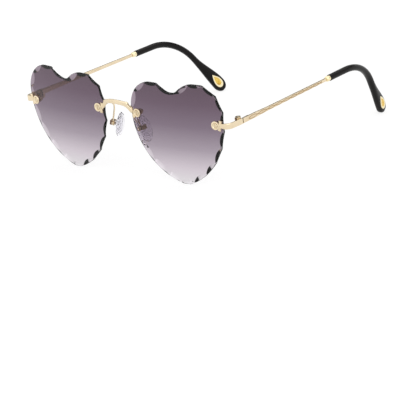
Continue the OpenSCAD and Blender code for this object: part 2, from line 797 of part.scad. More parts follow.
function way_point(s) =
    s <= bend_start ? temple_root + s * way_dir(0)
    : s >= bend_end ? bend[bend_steps] + (s - bend_end) * way_dir(bend_end)
    : let (u = way_share(s) * bend_steps)
        mix(bend[floor(u)], bend[min(bend_steps, floor(u) + 1)], u - floor(u));

// The tip is as long as it takes to stand on the table: its end is half an oval, and paddle_dip is how far
// the oval reaches below its middle
paddle_end_l = 0.66 * paddle_w;
paddle_dip = norm([
    paddle_end_l * sin(tip_pitch),
    paddle_w / 2 * cos(tip_pitch) * cos(paddle_twist),
    tip_t / 2 * cos(tip_pitch) * sin(paddle_twist)
]);
paddle_drop = bend[bend_steps][2] + paddle_shift * cos(tip_pitch) * cos(paddle_twist) + tip_foot_flat - paddle_dip;
tip_end = bend_end + paddle_drop / sin(tip_pitch) + paddle_end_l;
paddle_mid = tip_end - 0.8 * drop_l;

module on_way(s) {
    translate(way_point(s)) rotate([-way_pitch(s), 0, way_yaw(s)]) children();
}

// Height of the bar at shares of its length: it is deepest over the front quarter
temple_shares = [[0, 1], [0.15, 0.94], [0.3, 0.35], [1, 0]];

module temple() {
    color(gold) on_way(0) {
        translate([-temple_t / 2, 0, 0]) rotate([90, 0, 90]) linear_extrude(height = temple_t) polygon(concat(
            [for (q = temple_shares) [q[0] * temple_l, -mix(temple_end_h, temple_h, q[1]) / 2]],
            [for (k = [len(temple_shares) - 1 : -1 : 0])
                let (q = temple_shares[k])
                [q[0] * temple_l, mix(temple_end_h, temple_h, q[1]) / 2]]
        ));
        rod(core_d, temple_l - cut, bend_start);
    }
}

module collar() {
    color(gold) on_way(0) difference() {
        union() {
            rod(collar_d, collar_start + seat_gap + collar_l / 4, tip_start - seat_gap);
            rod(0.86 * collar_d, collar_start + seat_gap, tip_start - collar_l / 2);
        }
        rod(core_d + 2 * hole_gap, collar_start - cut, tip_start + cut);
    }
}

// How far the tip has widened into the paddle at distance s along the way, from 0 to 1
function paddle_share(s) =
    let (u = min(1, max(0, (s - bend_end) / (tip_end - paddle_end_l - bend_end))))
    u * u * (3 - 2 * u);

// Share of its full size that the tip keeps at distance s, as its end rounds off over the length r
function end_share(s, r) = sqrt(max(0, 1 - pow(max(0, 1 - (tip_end - s) / r), 2)));

function tip_half_w(s) = mix(tip_start_w, paddle_w, paddle_share(s)) / 2 * end_share(s, paddle_end_l);

function tip_half_t(s) =
    mix(tip_start_w, tip_t, min(1, (s - tip_start) / tip_straight)) / 2 * end_share(s, tip_t / 2);

// The sine or cosine of a round section, drawn out towards the corners of a flat sided one
function square_up(c, s) = sign(c) * pow(abs(c), mix(1, 0.68, paddle_share(s)));

tip_sides = 24;
leg_steps = 8;
end_steps = 8;
tip_stations = concat(
    [tip_start, tip_start + tip_straight / 2],
    [for (k = [0 : bend_steps / 2]) bend_start + 2 * k * tip_bend_l / bend_steps],
    [for (k = [1 : leg_steps]) mix(bend_end, tip_end - paddle_end_l, k / leg_steps)],
    [for (k = [1 : end_steps]) tip_end - paddle_end_l * (1 - sin(84 * k / end_steps))]
);

// The paddle turns about its own length as it widens
function way_twist(s) = paddle_twist * paddle_share(s);

function tip_ring(s) =
    let (yaw = way_yaw(s))
    let (pitch = way_pitch(s))
    let (twist = way_twist(s))
    let (level = [cos(yaw), sin(yaw), 0])
    let (rise = [-sin(yaw) * sin(pitch), cos(yaw) * sin(pitch), cos(pitch)])
    let (across = level * cos(twist) - rise * sin(twist))
    let (up = rise * cos(twist) + level * sin(twist))
    let (p = way_point(s) + paddle_shift * paddle_share(s) * up)
    [for (i = [0 : tip_sides - 1])
        let (a = -360 * i / tip_sides)
        p + tip_half_t(s) * square_up(cos(a), s) * across + tip_half_w(s) * square_up(sin(a), s) * up];

tip_rings = [for (s = tip_stations) tip_ring(s)];

module tip_body() {
    skin(tip_rings);
}

// A drop with its point up the tip: a circle drawn out to a point
drop_sides = 32;
drop_taper = 0.9;
drop_belly_share = 1.16;
drop_outline = [for (i = [0 : drop_sides - 1])
    let (a = 360 * i / drop_sides)
    [-drop_l / 2 * cos(a), drop_w / 2 * drop_belly_share * sin(a) * pow(sin(a / 2), drop_taper)]];

// A prism of the drop through the paddle, its middle that far off along the way that the faces look
module drop_prism(grow, depth, off = 0) {
    on_way(paddle_mid) rotate([0, way_twist(paddle_mid), 0]) translate([0, 0, paddle_shift * paddle_share(paddle_mid)])
        rotate([0, -90, 0]) rotate(90) mirror([0, 1, 0]) translate([0, 0, off - depth / 2])
            linear_extrude(height = depth) polygon([for (p = drop_outline) p * (1 + grow / drop_w)]);
}

module temple_tip() {
    color(black) difference() {
        tip_body();
        on_way(0) rod(core_d + 2 * hole_gap, tip_start - cut, bend_start + hole_gap);
        drop_prism(2 * hole_gap, 2 * tip_t);
        translate([0, way_point(tip_end)[1] - paddle_w, -paddle_w]) cube([temple_out_x, 2 * paddle_w, paddle_w]);
    }
}

module drop_inlay() {
    color(amber) difference() {
        drop_prism(0, tip_t);
        for (way = [-1, 1])
            drop_prism(-inlay_rim_share * drop_w, tip_t, way * (tip_t - inlay_dish));
    }
}

// Placing: the origin is the middle of the box round the whole object, on the table

tip_back_y = max([for (ring = tip_rings) each [for (p = ring) p[1]]]);
depth_mid = (tip_back_y - bridge_front) / 2;

module left() {
    translate([0, -depth_mid, 0]) children();
}

module right() {
    mirror([1, 0, 0]) left() children();
}

left() lens();  // left_lens
right() lens();  // right_lens
left() bridge();
left() lens_screw(true);  // left_outer_lens_screw
left() lens_screw(false);  // left_inner_lens_screw
right() lens_screw(true);  // right_outer_lens_screw
right() lens_screw(false);  // right_inner_lens_screw
left() lens_sleeve(true);  // left_outer_lens_sleeve
left() lens_sleeve(false);  // left_inner_lens_sleeve
right() lens_sleeve(true);  // right_outer_lens_sleeve
right() lens_sleeve(false);  // right_inner_lens_sleeve
left() lens_washer(true);  // left_outer_washer
left() lens_washer(false);  // left_inner_washer
right() lens_washer(true);  // right_outer_washer
right() lens_washer(false);  // right_inner_washer
left() cap_nut(true);  // left_outer_cap_nut
left() cap_nut(false);  // left_inner_cap_nut
right() cap_nut(true);  // right_outer_cap_nut
right() cap_nut(false);  // right_inner_cap_nut
left() pad_arm();  // left_pad_arm
right() pad_arm();  // right_pad_arm
left() pad_box();  // left_pad_box
right() pad_box();  // right_pad_box
left() pad_screw();  // left_pad_screw
right() pad_screw();  // right_pad_screw
left() pad_insert();  // left_pad_insert
right() pad_insert();  // right_pad_insert
left() nose_pad();  // left_nose_pad
right() nose_pad();  // right_nose_pad
left() endpiece();  // left_endpiece
right() endpiece();  // right_endpiece
left() front_hinge();  // left_front_hinge
right() front_hinge();  // right_front_hinge
left() hinge_screw();  // left_hinge_screw
right() hinge_screw();  // right_hinge_screw
left() temple_hinge();  // left_temple_hinge
right() temple_hinge();  // right_temple_hinge
left() temple();  // left_temple
right() temple();  // right_temple
left() collar();  // left_collar
right() collar();  // right_collar
left() temple_tip();  // left_temple_tip
right() temple_tip();  // right_temple_tip
left() drop_inlay();  // left_drop_inlay
right() drop_inlay();  // right_drop_inlay
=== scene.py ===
"""Looks of the rimless heart shaped sunglasses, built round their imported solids.

Shapes are worked out in millimetres on the wearer's left: x to the left, y back from the lens foot, z up.
Each right hand piece is its left hand piece mirrored. Angles are in degrees.
"""

import bmesh
import bpy
import numpy as np
from mathutils import Matrix, Vector


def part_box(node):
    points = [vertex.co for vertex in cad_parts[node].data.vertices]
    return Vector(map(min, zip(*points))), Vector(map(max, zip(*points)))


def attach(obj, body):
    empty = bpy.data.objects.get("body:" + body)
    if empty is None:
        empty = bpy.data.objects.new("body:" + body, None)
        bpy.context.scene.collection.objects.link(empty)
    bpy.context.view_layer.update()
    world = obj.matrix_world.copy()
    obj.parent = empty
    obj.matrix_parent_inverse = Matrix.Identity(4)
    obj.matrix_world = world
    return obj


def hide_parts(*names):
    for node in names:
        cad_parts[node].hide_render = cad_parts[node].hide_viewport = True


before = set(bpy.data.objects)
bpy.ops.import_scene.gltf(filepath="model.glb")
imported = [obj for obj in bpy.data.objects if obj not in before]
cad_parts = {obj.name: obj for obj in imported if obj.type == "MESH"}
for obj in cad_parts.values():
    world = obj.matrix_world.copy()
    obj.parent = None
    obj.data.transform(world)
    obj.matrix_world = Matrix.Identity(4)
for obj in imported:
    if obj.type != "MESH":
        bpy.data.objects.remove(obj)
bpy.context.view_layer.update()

MM = 0.001
FRONT = "front_frame"
SIDES = ("left", "right")

# Lens sheet
LENS_W = 56.4
LENS_H = 52.6
LENS_T = 1.8
LENS_FRONT_R = 280.0
LENS_GAP = 18.6
LENS_WRAP = 4.5
LENS_LEAN = 3.0
LENS_MID_Z = LENS_H / 2
LENS_X = (LENS_GAP + LENS_W) / 2

# Heart outline
OUTER_HUMP_R = 15.3
INNER_HUMP_R = 14.3
INNER_HUMP_DROP = 0.75
DIP_R = 6.0
OUTER_SIDE_R = 38.2
INNER_SIDE_R = 36.5
POINT_R = 5.4
POINT_SHIFT = 0.4
POINT_FLAT = 0.4

# Cut edge
FACETS = 19
FACET_W = 2.3
FACET_DROP = 1.3
FACET_WHEEL_R = 17.0
RIM_BREAK = 0.14

# Lens mounts
OUTER_SCREW_INSET = 4.35
OUTER_SCREW_Z = LENS_H - 19.7
INNER_SCREW_INSET = 3.95
INNER_SCREW_Z = LENS_H - 17.4
DISC_D = 4.5
DISC_T = 0.8
CROSSBAR_L = 5.4
SEAT_GAP = 0.02

# Bridge
BRIDGE_HALF_W = 7.0
BRIDGE_TOP_Z = LENS_H - 11.2
BRIDGE_RISE = 1.4
BRIDGE_FRONT = 5.8
BRIDGE_BOW = 1.9
BAR_H = 2.1
BAR_T = 1.3

# Nose pads
PAD_L = 13.6
PAD_W = 7.2
PAD_T = 2.8
PAD_PIVOT = np.array([10.4, 3.8, LENS_H - 26.9])
PAD_SHIFT = 2.0
PAD_SPLAY = 16.0
PAD_TURN = 18.0
PAD_BACK = 1.6
PAD_LOW = 0.09 * PAD_L
PAD_EGG = 0.06
PAD_BOX_H = 2.3
PAD_BOX_Y = -1.05
ARM_D = 0.8
ARM_EASE = 0.5

# Endpiece, hinge and temple
TEMPLE_T = 1.3
ENDPIECE_H = 2.8
TEMPLE_OUT_X = LENS_GAP / 2 + LENS_W + 4.1
HINGE_Y = 11.5
BODY_GAP = 0.25
TEMPLE_L = 67.0
TEMPLE_H = 2.5
TEMPLE_END_H = 1.5
TEMPLE_YAW = 1.9
TEMPLE_RISE = 1.2
CORE_D = 1.2
COLLAR_L = 2.6
COLLAR_D = 2.8
TEMPLE_ROOT = np.array([TEMPLE_OUT_X - TEMPLE_T / 2, HINGE_Y + 0.4 * TEMPLE_T, OUTER_SCREW_Z])

# Temple tip
TIP_STRAIGHT = 13.3
TIP_BEND_L = 30.3
TIP_PITCH = 55.0
TIP_LEAN = 22.4
TIP_T = 3.7
TIP_START_W = 3.3
PADDLE_W = 7.2
PADDLE_SHIFT = 1.1
PADDLE_TWIST = 9.5
PADDLE_POWER = 0.68
TIP_FOOT_FLAT = 0.15
TIP_INSET = 0.25
DROP_W = 5.0
DROP_L = 9.4

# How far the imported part's origin lies behind the lens foot, from where its hinge screw stands
screw_low, screw_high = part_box("left_hinge_screw")
DEPTH_MID = HINGE_Y - (screw_low[1] + screw_high[1]) / 2 / MM


# Vector helpers


def unit(v):
    """v divided by its length, for one vector or for rows of vectors."""
    v = np.asarray(v, float)
    return v / np.linalg.norm(v, axis=-1, keepdims=True)


def mix(a, b, share):
    """The point that lies share of the way from a to b."""
    return a + (b - a) * share


def smooth_step(u):
    """0 below 0, 1 above 1, and 3u^2 - 2u^3 between."""
    u = np.clip(u, 0, 1)
    return u * u * (3 - 2 * u)


def turn(axis, degrees, p):
    """Points p turned about the x, y or z axis through the origin, by the right-hand rule."""
    matrix = np.array(Matrix.Rotation(np.radians(degrees), 3, axis))
    return np.asarray(p, float) @ matrix.T


def rays(angles):
    """Unit vectors (cos, sin) at angles in radians."""
    return np.stack([np.cos(angles), np.sin(angles)], axis=-1)


def round_angles(count):
    """That many even steps round a circle, in radians."""
    return np.arange(count) * 2 * np.pi / count


def run_along(path):
    """How far each point of a polyline lies along it."""
    return np.concatenate([[0], np.cumsum(np.linalg.norm(np.diff(path, axis=0), axis=1))])


def arc_radius(half, rise):
    """Radius of the arc that rises by rise over a chord of twice half."""
    return (half**2 + rise**2) / (2 * rise)


def rounded_off(distance, r):
    """Share of its full size that a form keeps near an end, rounded off as a quarter circle of radius r."""
    return np.sqrt(np.maximum(0, 1 - np.maximum(0, 1 - distance / r) ** 2))


def resample(path, step):
    """Points spaced evenly, about step apart, along a polyline."""
    path = np.asarray(path, float)
    run = run_along(path)
    at = np.linspace(0, run[-1], max(3, int(np.ceil(run[-1] / step)) + 1))
    return np.stack([np.interp(at, run, path[:, k]) for k in range(3)], axis=1)


def eased(path, radius, step=0.2, passes=3):
    """A polyline with its corners rounded: its points averaged over a window radius long, its ends kept."""
    points = resample(path, step)
    half = max(1, int(radius / step / 2))
    for _ in range(passes):
        padded = np.concatenate([
            2 * points[0] - points[half:0:-1],
            points,
            2 * points[-1] - points[-2 : -half - 2 : -1],
        ])
        total = np.cumsum(np.concatenate([np.zeros((1, 3)), padded]), axis=0)
        points = (total[2 * half + 1 :] - total[: -2 * half - 1]) / (2 * half + 1)
    return points


# Mesh helpers


def skin(rings):
    """Faces that join rings of equal length one after the other, with a fan at each end round an added
    middle. rings is m rings by n points, which go round each ring so that the faces look outwards.
    """
    rings = np.asarray(rings, float)
    m, n, _ = rings.shape
    index = np.arange(m * n).reshape(m, n)
    a = index[:-1]
    b = index[1:]
    walls = np.stack([a, np.roll(a, -1, 1), np.roll(b, -1, 1), b], axis=-1).reshape(-1, 4)
    first = np.stack([np.roll(index[0], -1), index[0], np.full(n, m * n)], axis=-1)
    last = np.stack([index[-1], np.roll(index[-1], -1), np.full(n, m * n + 1)], axis=-1)
    points = np.concatenate([rings.reshape(-1, 3), [rings[0].mean(0)], [rings[-1].mean(0)]])
    return points, walls.tolist() + first.tolist() + last.tolist()


def box_section(corner, steps=4):
    """A square of half size 1 as an array of points, with its corners rounded by arcs of radius corner."""
    arc = rays(np.linspace(0, np.pi / 2, steps + 1)) * corner + (1 - corner)
    turns = [np.array([[np.cos(a), np.sin(a)], [-np.sin(a), np.cos(a)]]) for a in round_angles(4)]
    return np.concatenate([arc @ t for t in turns])


def rings_square_to(middle, across, upward, x, y):
    """One ring of points for each middle point of a path: middle + x across + y upward."""
    return middle[:, None] + x[..., None] * across[:, None] + y[..., None] * upward[:, None]


def sweep(path, depth_dir, section, half_depth, half_height, cap=0.0):
    """A section carried along a path, square to it: its first axis leans to depth_dir, its second is square
    to both. half_depth and half_height are one value or one per point. Both ends round off over cap.
    """
    path = np.asarray(path, float)
    along = unit(np.gradient(path, axis=0))
    depth = np.broadcast_to(np.asarray(depth_dir, float), path.shape)
    height_dir = unit(np.cross(along, depth))
    depth = unit(np.cross(height_dir, along))
    half_depth = np.broadcast_to(np.asarray(half_depth, float), len(path)).copy()
    half_height = np.broadcast_to(np.asarray(half_height, float), len(path)).copy()
    if cap > 0:
        run = run_along(path)
        inset = cap * (1 - rounded_off(np.minimum(run, run[-1] - run), cap))
        half_depth -= inset
        half_height -= inset
    x = section[:, 0] * half_depth[:, None]
    y = section[:, 1] * half_height[:, None]
    return rings_square_to(path, depth, height_dir, x, y)


def plate(outline, front, back, ease):
    """A flat plate with eased edges: rings of one outline, which runs anticlockwise in x and z. Near the
    faces its points are drawn in square to it.
    """
    outline = np.asarray(outline, float)
    along = unit(np.roll(outline, -1, 0) - np.roll(outline, 1, 0))
    inward = np.stack([-along[:, 1], along[:, 0]], axis=1)
    levels = []
    for depth, inset in (
        (front, ease),
        (front + 0.3 * ease, 0.3 * ease),
        (front + ease, 0),
        (back - ease, 0),
        (back - 0.3 * ease, 0.3 * ease),
        (back, ease),
    ):
        flat = outline + inward * inset
        levels.append(np.stack([flat[:, 0], np.full(len(flat), depth), flat[:, 1]], axis=1))
    return np.array(levels)


def turned(profile, count):
    """A profile of (y, radius) pairs turned about the y axis, as rings."""
    a = round_angles(count)
    return np.array([
        np.stack([r * np.cos(a), np.full(count, y), r * np.sin(a)], axis=1) for y, r in profile
    ])


def joined(*shells):
    """Several closed shells as one list of points and one list of faces."""
    points = []
    faces = []
    for shell_points, shell_faces in shells:
        start = sum(len(p) for p in points)
        points.append(shell_points)
        faces += [[i + start for i in face] for face in shell_faces]
    return np.concatenate(points), faces


# Places


def on_lens(p):
    """Points of the flat lens drawing put where the left lens stands."""
    return turn("Z", LENS_WRAP, turn("X", LENS_LEAN, p)) + [LENS_X, 0, 0]


def screw_turns(outer):
    """Pitch and yaw of a lens screw, which stands square on the front face."""
    x = LENS_W / 2 - OUTER_SCREW_INSET if outer else INNER_SCREW_INSET - LENS_W / 2
    z = OUTER_SCREW_Z if outer else INNER_SCREW_Z
    pitch = -np.degrees(np.arcsin((z - LENS_MID_Z) / LENS_FRONT_R))
    yaw = np.degrees(np.arcsin(x / (LENS_FRONT_R * np.cos(np.radians(pitch)))))
    return pitch, yaw


def at_screw(outer, p):
    """Points drawn round a lens screw, with y running into the lens, put at that screw."""
    pitch, yaw = screw_turns(outer)
    moved = turn("X", pitch, np.asarray(p, float) - [0, LENS_FRONT_R, 0])
    return on_lens(turn("Z", yaw, moved) + [0, LENS_FRONT_R, LENS_MID_Z])


def at_pad(p):
    """Points drawn round the pad screw, with x away from the nose, put at the left nose pad."""
    return turn("Y", -PAD_SPLAY, turn("Z", -PAD_TURN, p)) + PAD_PIVOT


# Lens


def circles_meet(a, ra, b, rb):
    """Where circles round a and b meet, on the left of the way from a to b."""
    d = b - a
    length = np.linalg.norm(d)
    along = (ra**2 - rb**2 + length**2) / (2 * length)
    aside = np.sqrt(ra**2 - along**2)
    return a + (along * d + aside * np.array([-d[1], d[0]])) / length


def heart_arcs():
    """The heart as six arcs from the foot up the temple side: centre, radius, first bearing, signed sweep.
    Circles a and b touch at (a rb - b ra) / (rb - ra), where the hollow one's radius is negative.
    """
    outer_hump = np.array([LENS_W / 2 - OUTER_HUMP_R, LENS_H - OUTER_HUMP_R])
    inner_hump = np.array([INNER_HUMP_R - LENS_W / 2, LENS_H - INNER_HUMP_DROP - INNER_HUMP_R])
    point = np.array([POINT_SHIFT, POINT_R - POINT_FLAT])
    dip = circles_meet(inner_hump, INNER_HUMP_R + DIP_R, outer_hump, OUTER_HUMP_R + DIP_R)
    outer_side = circles_meet(point, OUTER_SIDE_R - POINT_R, outer_hump, OUTER_SIDE_R - OUTER_HUMP_R)
    inner_side = circles_meet(inner_hump, INNER_SIDE_R - INNER_HUMP_R, point, INNER_SIDE_R - POINT_R)
    circles = (
        (outer_side, OUTER_SIDE_R), (outer_hump, OUTER_HUMP_R), (dip, -DIP_R),
        (inner_hump, INNER_HUMP_R), (inner_side, INNER_SIDE_R), (point, POINT_R),
    )
    joints = [(a * rb - b * ra) / (rb - ra) for (a, ra), (b, rb) in zip(circles, circles[1:] + circles[:1])]
    arcs = []
    for (centre, radius), start, end in zip(circles, joints[-1:] + joints, joints):
        first, last = np.arctan2(*np.transpose([start - centre, end - centre])[::-1])
        way = np.sign(radius)
        arcs.append((centre, abs(radius), first, way * ((way * (last - first)) % (2 * np.pi))))
    return arcs


HEART = heart_arcs()
HEART_ENDS = np.cumsum([radius * abs(angle) for _, radius, _, angle in HEART])
HEART_L = HEART_ENDS[-1]
FOOT_S = (HEART_ENDS[-2] + HEART_L) / 2


def on_heart(s):
    """Points and outward directions of the heart at distances s round it, each arc centre + r (cos, sin)."""
    s = np.asarray(s, float) % HEART_L
    points = np.zeros(s.shape + (2,))
    outward = np.zeros(s.shape + (2,))
    start = 0.0
    for (centre, radius, first, angle), end in zip(HEART, HEART_ENDS):
        here = (s >= start) & (s <= end)
        bearing = first + np.sign(angle) * (s[here] - start) / radius
        ray = rays(bearing)
        points[here] = centre + radius * ray
        outward[here] = ray * np.sign(angle)
        start = end
    return points, outward


def sphere_depth(p, radius):
    """How far back a sphere of that radius about the lens's centre of curvature lies at points (x, z)."""
    return LENS_FRONT_R - np.sqrt(radius**2 - p[..., 0] ** 2 - (p[..., 1] - LENS_MID_Z) ** 2)


def front_depth(p):
    return sphere_depth(p, LENS_FRONT_R)


def back_depth(p):
    return sphere_depth(p, LENS_FRONT_R - LENS_T)


def facet_depth(p, number):
    """Depth at p of the hollow that the wheel grinds for a facet: a slope outwards from the back face,
    with R - sqrt(R^2 - a^2) added at distance a beside the facet's middle.
    """
    half = HEART_L / FACETS / 2
    middle = FOOT_S + np.asarray(number) * HEART_L / FACETS
    foot, _ = on_heart(middle)
    ahead, _ = on_heart(middle + half)
    behind, _ = on_heart(middle - half)
    along = unit(ahead - behind)
    out = np.stack([along[..., 1], -along[..., 0]], axis=-1)
    lean = np.arcsin(np.sum((foot - [0, LENS_MID_Z]) * out, axis=-1) / LENS_FRONT_R)
    a = np.sum((p - foot) * along, axis=-1)
    b = np.sum((p - foot) * out, axis=-1)
    fall = np.arctan(FACET_DROP / FACET_W)
    sag = FACET_WHEEL_R - np.sqrt(np.maximum(0, FACET_WHEEL_R**2 - a**2))
    return back_depth(foot) + b * np.tan(lean) - FACET_DROP - b * np.tan(fall) + sag / np.cos(fall)


def ground_depth(p, number):
    """The deepest of a facet's own hollow and its two neighbours'."""
    return np.minimum.reduce([facet_depth(p, number + k) for k in (-1, 0, 1)])


# Mesh of the lens: columns to a facet, rings to a face and across a facet, and size of the middle ring
FACET_COLUMNS = 16
FACE_RINGS = 14
FACET_RINGS = 7
FACE_HUB = 0.06
HALVINGS = 30


def facet_reach(rim, outward, number):
    """How far in from the rim each column's hollow meets the back face, found by halving the span."""
    narrow = np.zeros(len(rim))
    wide = np.full(len(rim), 2 * FACET_W)
    for _ in range(HALVINGS):
        w = (narrow + wide) / 2
        q = rim - outward * w[:, None]
        cuts = ground_depth(q, number) < back_depth(q)
        narrow = np.where(cuts, w, narrow)
        wide = np.where(cuts, wide, w)
    return narrow


def lens_mesh():
    """The lens as rings round the heart: out over the front face, down the edge wall, in across the ground
    facets and over the back face to its middle. A facet is whole columns wide, so its ridges are mesh edges.
    """
    count = FACET_COLUMNS * FACETS
    number = np.arange(count) // FACET_COLUMNS
    rim, outward = on_heart(FOOT_S + (np.arange(count) - FACET_COLUMNS / 2) * HEART_L / count)
    band = facet_reach(rim, outward, number)
    middle = np.array([0.0, LENS_MID_Z])
    rings = []
    ground = []

    def ring(p, depth, is_ground):
        rings.append(np.stack([p[:, 0], depth, p[:, 1]], axis=1))
        ground.append(is_ground)

    for u in np.linspace(FACE_HUB, 1, FACE_RINGS):
        p = middle + u * (rim - outward * RIM_BREAK - middle)
        ring(p, front_depth(p), 0)
    ring(rim, front_depth(rim) + RIM_BREAK, 1)
    edge = ground_depth(rim, number)
    ring(rim, np.maximum(edge, front_depth(rim) + 2 * RIM_BREAK), 1)
    for u in np.linspace(0, 1, FACET_RINGS)[1:-1]:
        p = rim - outward * (band * u)[:, None]
        ring(p, np.minimum(ground_depth(p, number), back_depth(p)), 1)
    inner = rim - outward * band[:, None]
    ring(inner, back_depth(inner), 1)
    for u in np.linspace(1, FACE_HUB, FACE_RINGS)[1:]:
        p = middle + u * (inner - middle)
        ring(p, back_depth(p), 0)
    points, faces = skin(np.array(rings))
    points[-2, 1] = 0
    points[-1, 1] = LENS_T
    points = on_lens(points)
    points[:, 2] = np.maximum(points[:, 2], 0)
    return points, faces, np.repeat(ground[1:], count).tolist() + [0] * (2 * count)


# Bridge and lugs

LUG_POINTS = 48
LUG_EASE = 0.13
SCREW_SEAT_R = 1.32
SCREW_SEAT_DEPTH = 0.42
CROSSBAR_X = 0.6 * DISC_D
CROSSBAR_WAIST = 0.12 * DISC_D
CROSSBAR_FLARE = 0.19 * DISC_D
CROSSBAR_LEAN = 14.0


def lug_shells(neck_h):
    """The disc with its screw seat, the flared crossbar beside it, and the short link between them. The
    crossbar widens from its waist with |v|^1.6 towards its ends.
    """
    front = -SEAT_GAP - DISC_T
    back = -SEAT_GAP
    ease = LUG_EASE
    seat_r = SCREW_SEAT_R
    seat_y = front + SCREW_SEAT_DEPTH
    r = DISC_D / 2
    disc = skin(turned([
        (back, r - ease), (back - ease, r), (front + 1.6 * ease, r), (front + 0.5 * ease, r - 0.5 * ease),
        (front, r - 1.6 * ease), (front, seat_r + ease), (front + ease, seat_r), (seat_y, seat_r),
    ], LUG_POINTS))
    v = np.linspace(-1, 1, 13)
    side = mix(CROSSBAR_WAIST, CROSSBAR_FLARE, np.abs(v) ** 1.6)
    outline = np.concatenate([
        np.stack([side, v * CROSSBAR_L / 2], axis=1),
        np.stack([-side, v * CROSSBAR_L / 2], axis=1)[::-1],
    ])
    lean = np.radians(CROSSBAR_LEAN)
    spin = np.array([[np.cos(lean), -np.sin(lean)], [np.sin(lean), np.cos(lean)]])
    crossbar = skin(plate(outline @ spin + [CROSSBAR_X, 0], front, back, ease))
    link = np.array([[r, 0, 0], [CROSSBAR_X, 0, 0]]) + [0, (front + back) / 2, 0]
    link_shell = skin(sweep(link, [0, 1, 0], box_section(0.35), DISC_T / 2, neck_h / 2))
    return disc, crossbar, link_shell


# From the bar's end to its shoulder, and where its neck meets the crossbar, seen from the inner screw
SHOULDER_STEP = np.array([0.55, 0.1, -0.75])
NECK_END = np.array([-CROSSBAR_X - 0.25, -SEAT_GAP - DISC_T / 2, 0.1])
SHOULDER_EASE = 0.9
SWELL_L = 0.8
SWELL_SHARE = 0.25


def bridge_path():
    """The middle line of the bridge from the middle to the left crossbar: two arcs give its bow and rise,
    then it turns down the shoulder and runs to the crossbar.
    """
    bow_r = arc_radius(BRIDGE_HALF_W, BRIDGE_BOW)
    rise_r = arc_radius(BRIDGE_HALF_W, BRIDGE_RISE)
    mid_y = BAR_T / 2 - BRIDGE_FRONT
    x = np.linspace(0, BRIDGE_HALF_W, 15)
    bar = np.stack([
        x,
        mid_y + bow_r - np.sqrt(bow_r**2 - x**2),
        BRIDGE_TOP_Z - BAR_H / 2 - rise_r + np.sqrt(rise_r**2 - x**2),
    ], axis=1)
    shoulder = bar[-1] + SHOULDER_STEP
    lug = at_screw(False, [NECK_END])[0]
    return np.concatenate([bar, [shoulder, mix(shoulder, lug, 0.5), lug]])


def bridge_mesh():
    """The bridge bar with both shoulders and necks as one sweep, and the two lugs screwed to the lenses. It
    swells in a bell curve at each shoulder, and its depth then goes over to the neck's.
    """
    half = eased(bridge_path(), SHOULDER_EASE)
    half[:, 0] -= half[0, 0]
    path = np.concatenate([half[:0:-1] * [-1, 1, 1], half])
    run = run_along(half)
    past = run - np.interp(BRIDGE_HALF_W, half[:, 0], run)
    swell = np.exp(-((past / SWELL_L) ** 2))
    height = mix(BAR_H, 0.9 * BAR_H, smooth_step(past / 1.2)) + SWELL_SHARE * BAR_H * swell
    depth = mix(BAR_T, 1.15 * BAR_T, swell)
    depth = mix(depth, 1.25 * DISC_T, smooth_step((past - 0.6) / 2.5))
    depth = np.concatenate([depth[:0:-1], depth])
    height = np.concatenate([height[:0:-1], height])
    bar = skin(sweep(path, [0, 1, 0], box_section(0.42), depth / 2, height / 2, cap=0.3))
    shells = [bar]
    for mirror in (1, -1):
        for points, faces in lug_shells(0.95 * BAR_H):
            placed = at_screw(False, points * [-1, 1, 1])
            shells.append((placed * [mirror, 1, 1], faces))
    return joined(*shells)


def endpiece_mesh():
    """The lug on the temple side of the lens, and a flat bar that runs out along the lens, turns a round
    corner and goes back to the hinge.
    """
    mid_x = TEMPLE_ROOT[0]
    corner_r = 2 * TEMPLE_T
    _, yaw = screw_turns(True)
    yaw = np.radians(LENS_WRAP + yaw)
    depth = -SEAT_GAP - TEMPLE_T / 2
    first = at_screw(True, [[DISC_D / 2, -SEAT_GAP - DISC_T / 2, 0]])[0]
    start = at_screw(True, [[OUTER_SCREW_INSET + DISC_T / 4, depth, 0]])[0]
    run = (mid_x - corner_r * (1 - np.sin(yaw)) - start[0]) / np.cos(yaw)
    corner = np.array([mid_x - corner_r, start[1] + run * np.sin(yaw) + corner_r * np.cos(yaw)])
    a = np.linspace(yaw - np.pi / 2, 0, 12)
    z = np.full(len(a), OUTER_SCREW_Z)
    bend = np.column_stack([corner + corner_r * rays(a), z])
    back = TEMPLE_ROOT - [0, BODY_GAP, 0]
    path = resample(np.concatenate([[first, start], bend, [back]]), 0.3)
    grow = smooth_step((run_along(path) - 1) / 3)
    height = mix(0.8 * ENDPIECE_H, ENDPIECE_H, grow)
    thick = mix(DISC_T, TEMPLE_T, grow)
    bar = skin(sweep(path, [0, 0, 1], box_section(0.3), height / 2, thick / 2, cap=0.15))
    shells = [bar]
    for points, faces in lug_shells(0.8 * ENDPIECE_H):
        shells.append((at_screw(True, points), faces))
    return joined(*shells)


# Nose pads

PAD_POINTS = 56
# Depth into the pad and size there, as shares of its thickness and of its full size
PAD_PROFILE = np.array([
    [0, 0.7], [0.07, 0.88], [0.25, 0.98], [0.45, 1], [0.65, 0.93], [0.82, 0.78], [0.94, 0.5], [1, 0.2],
])


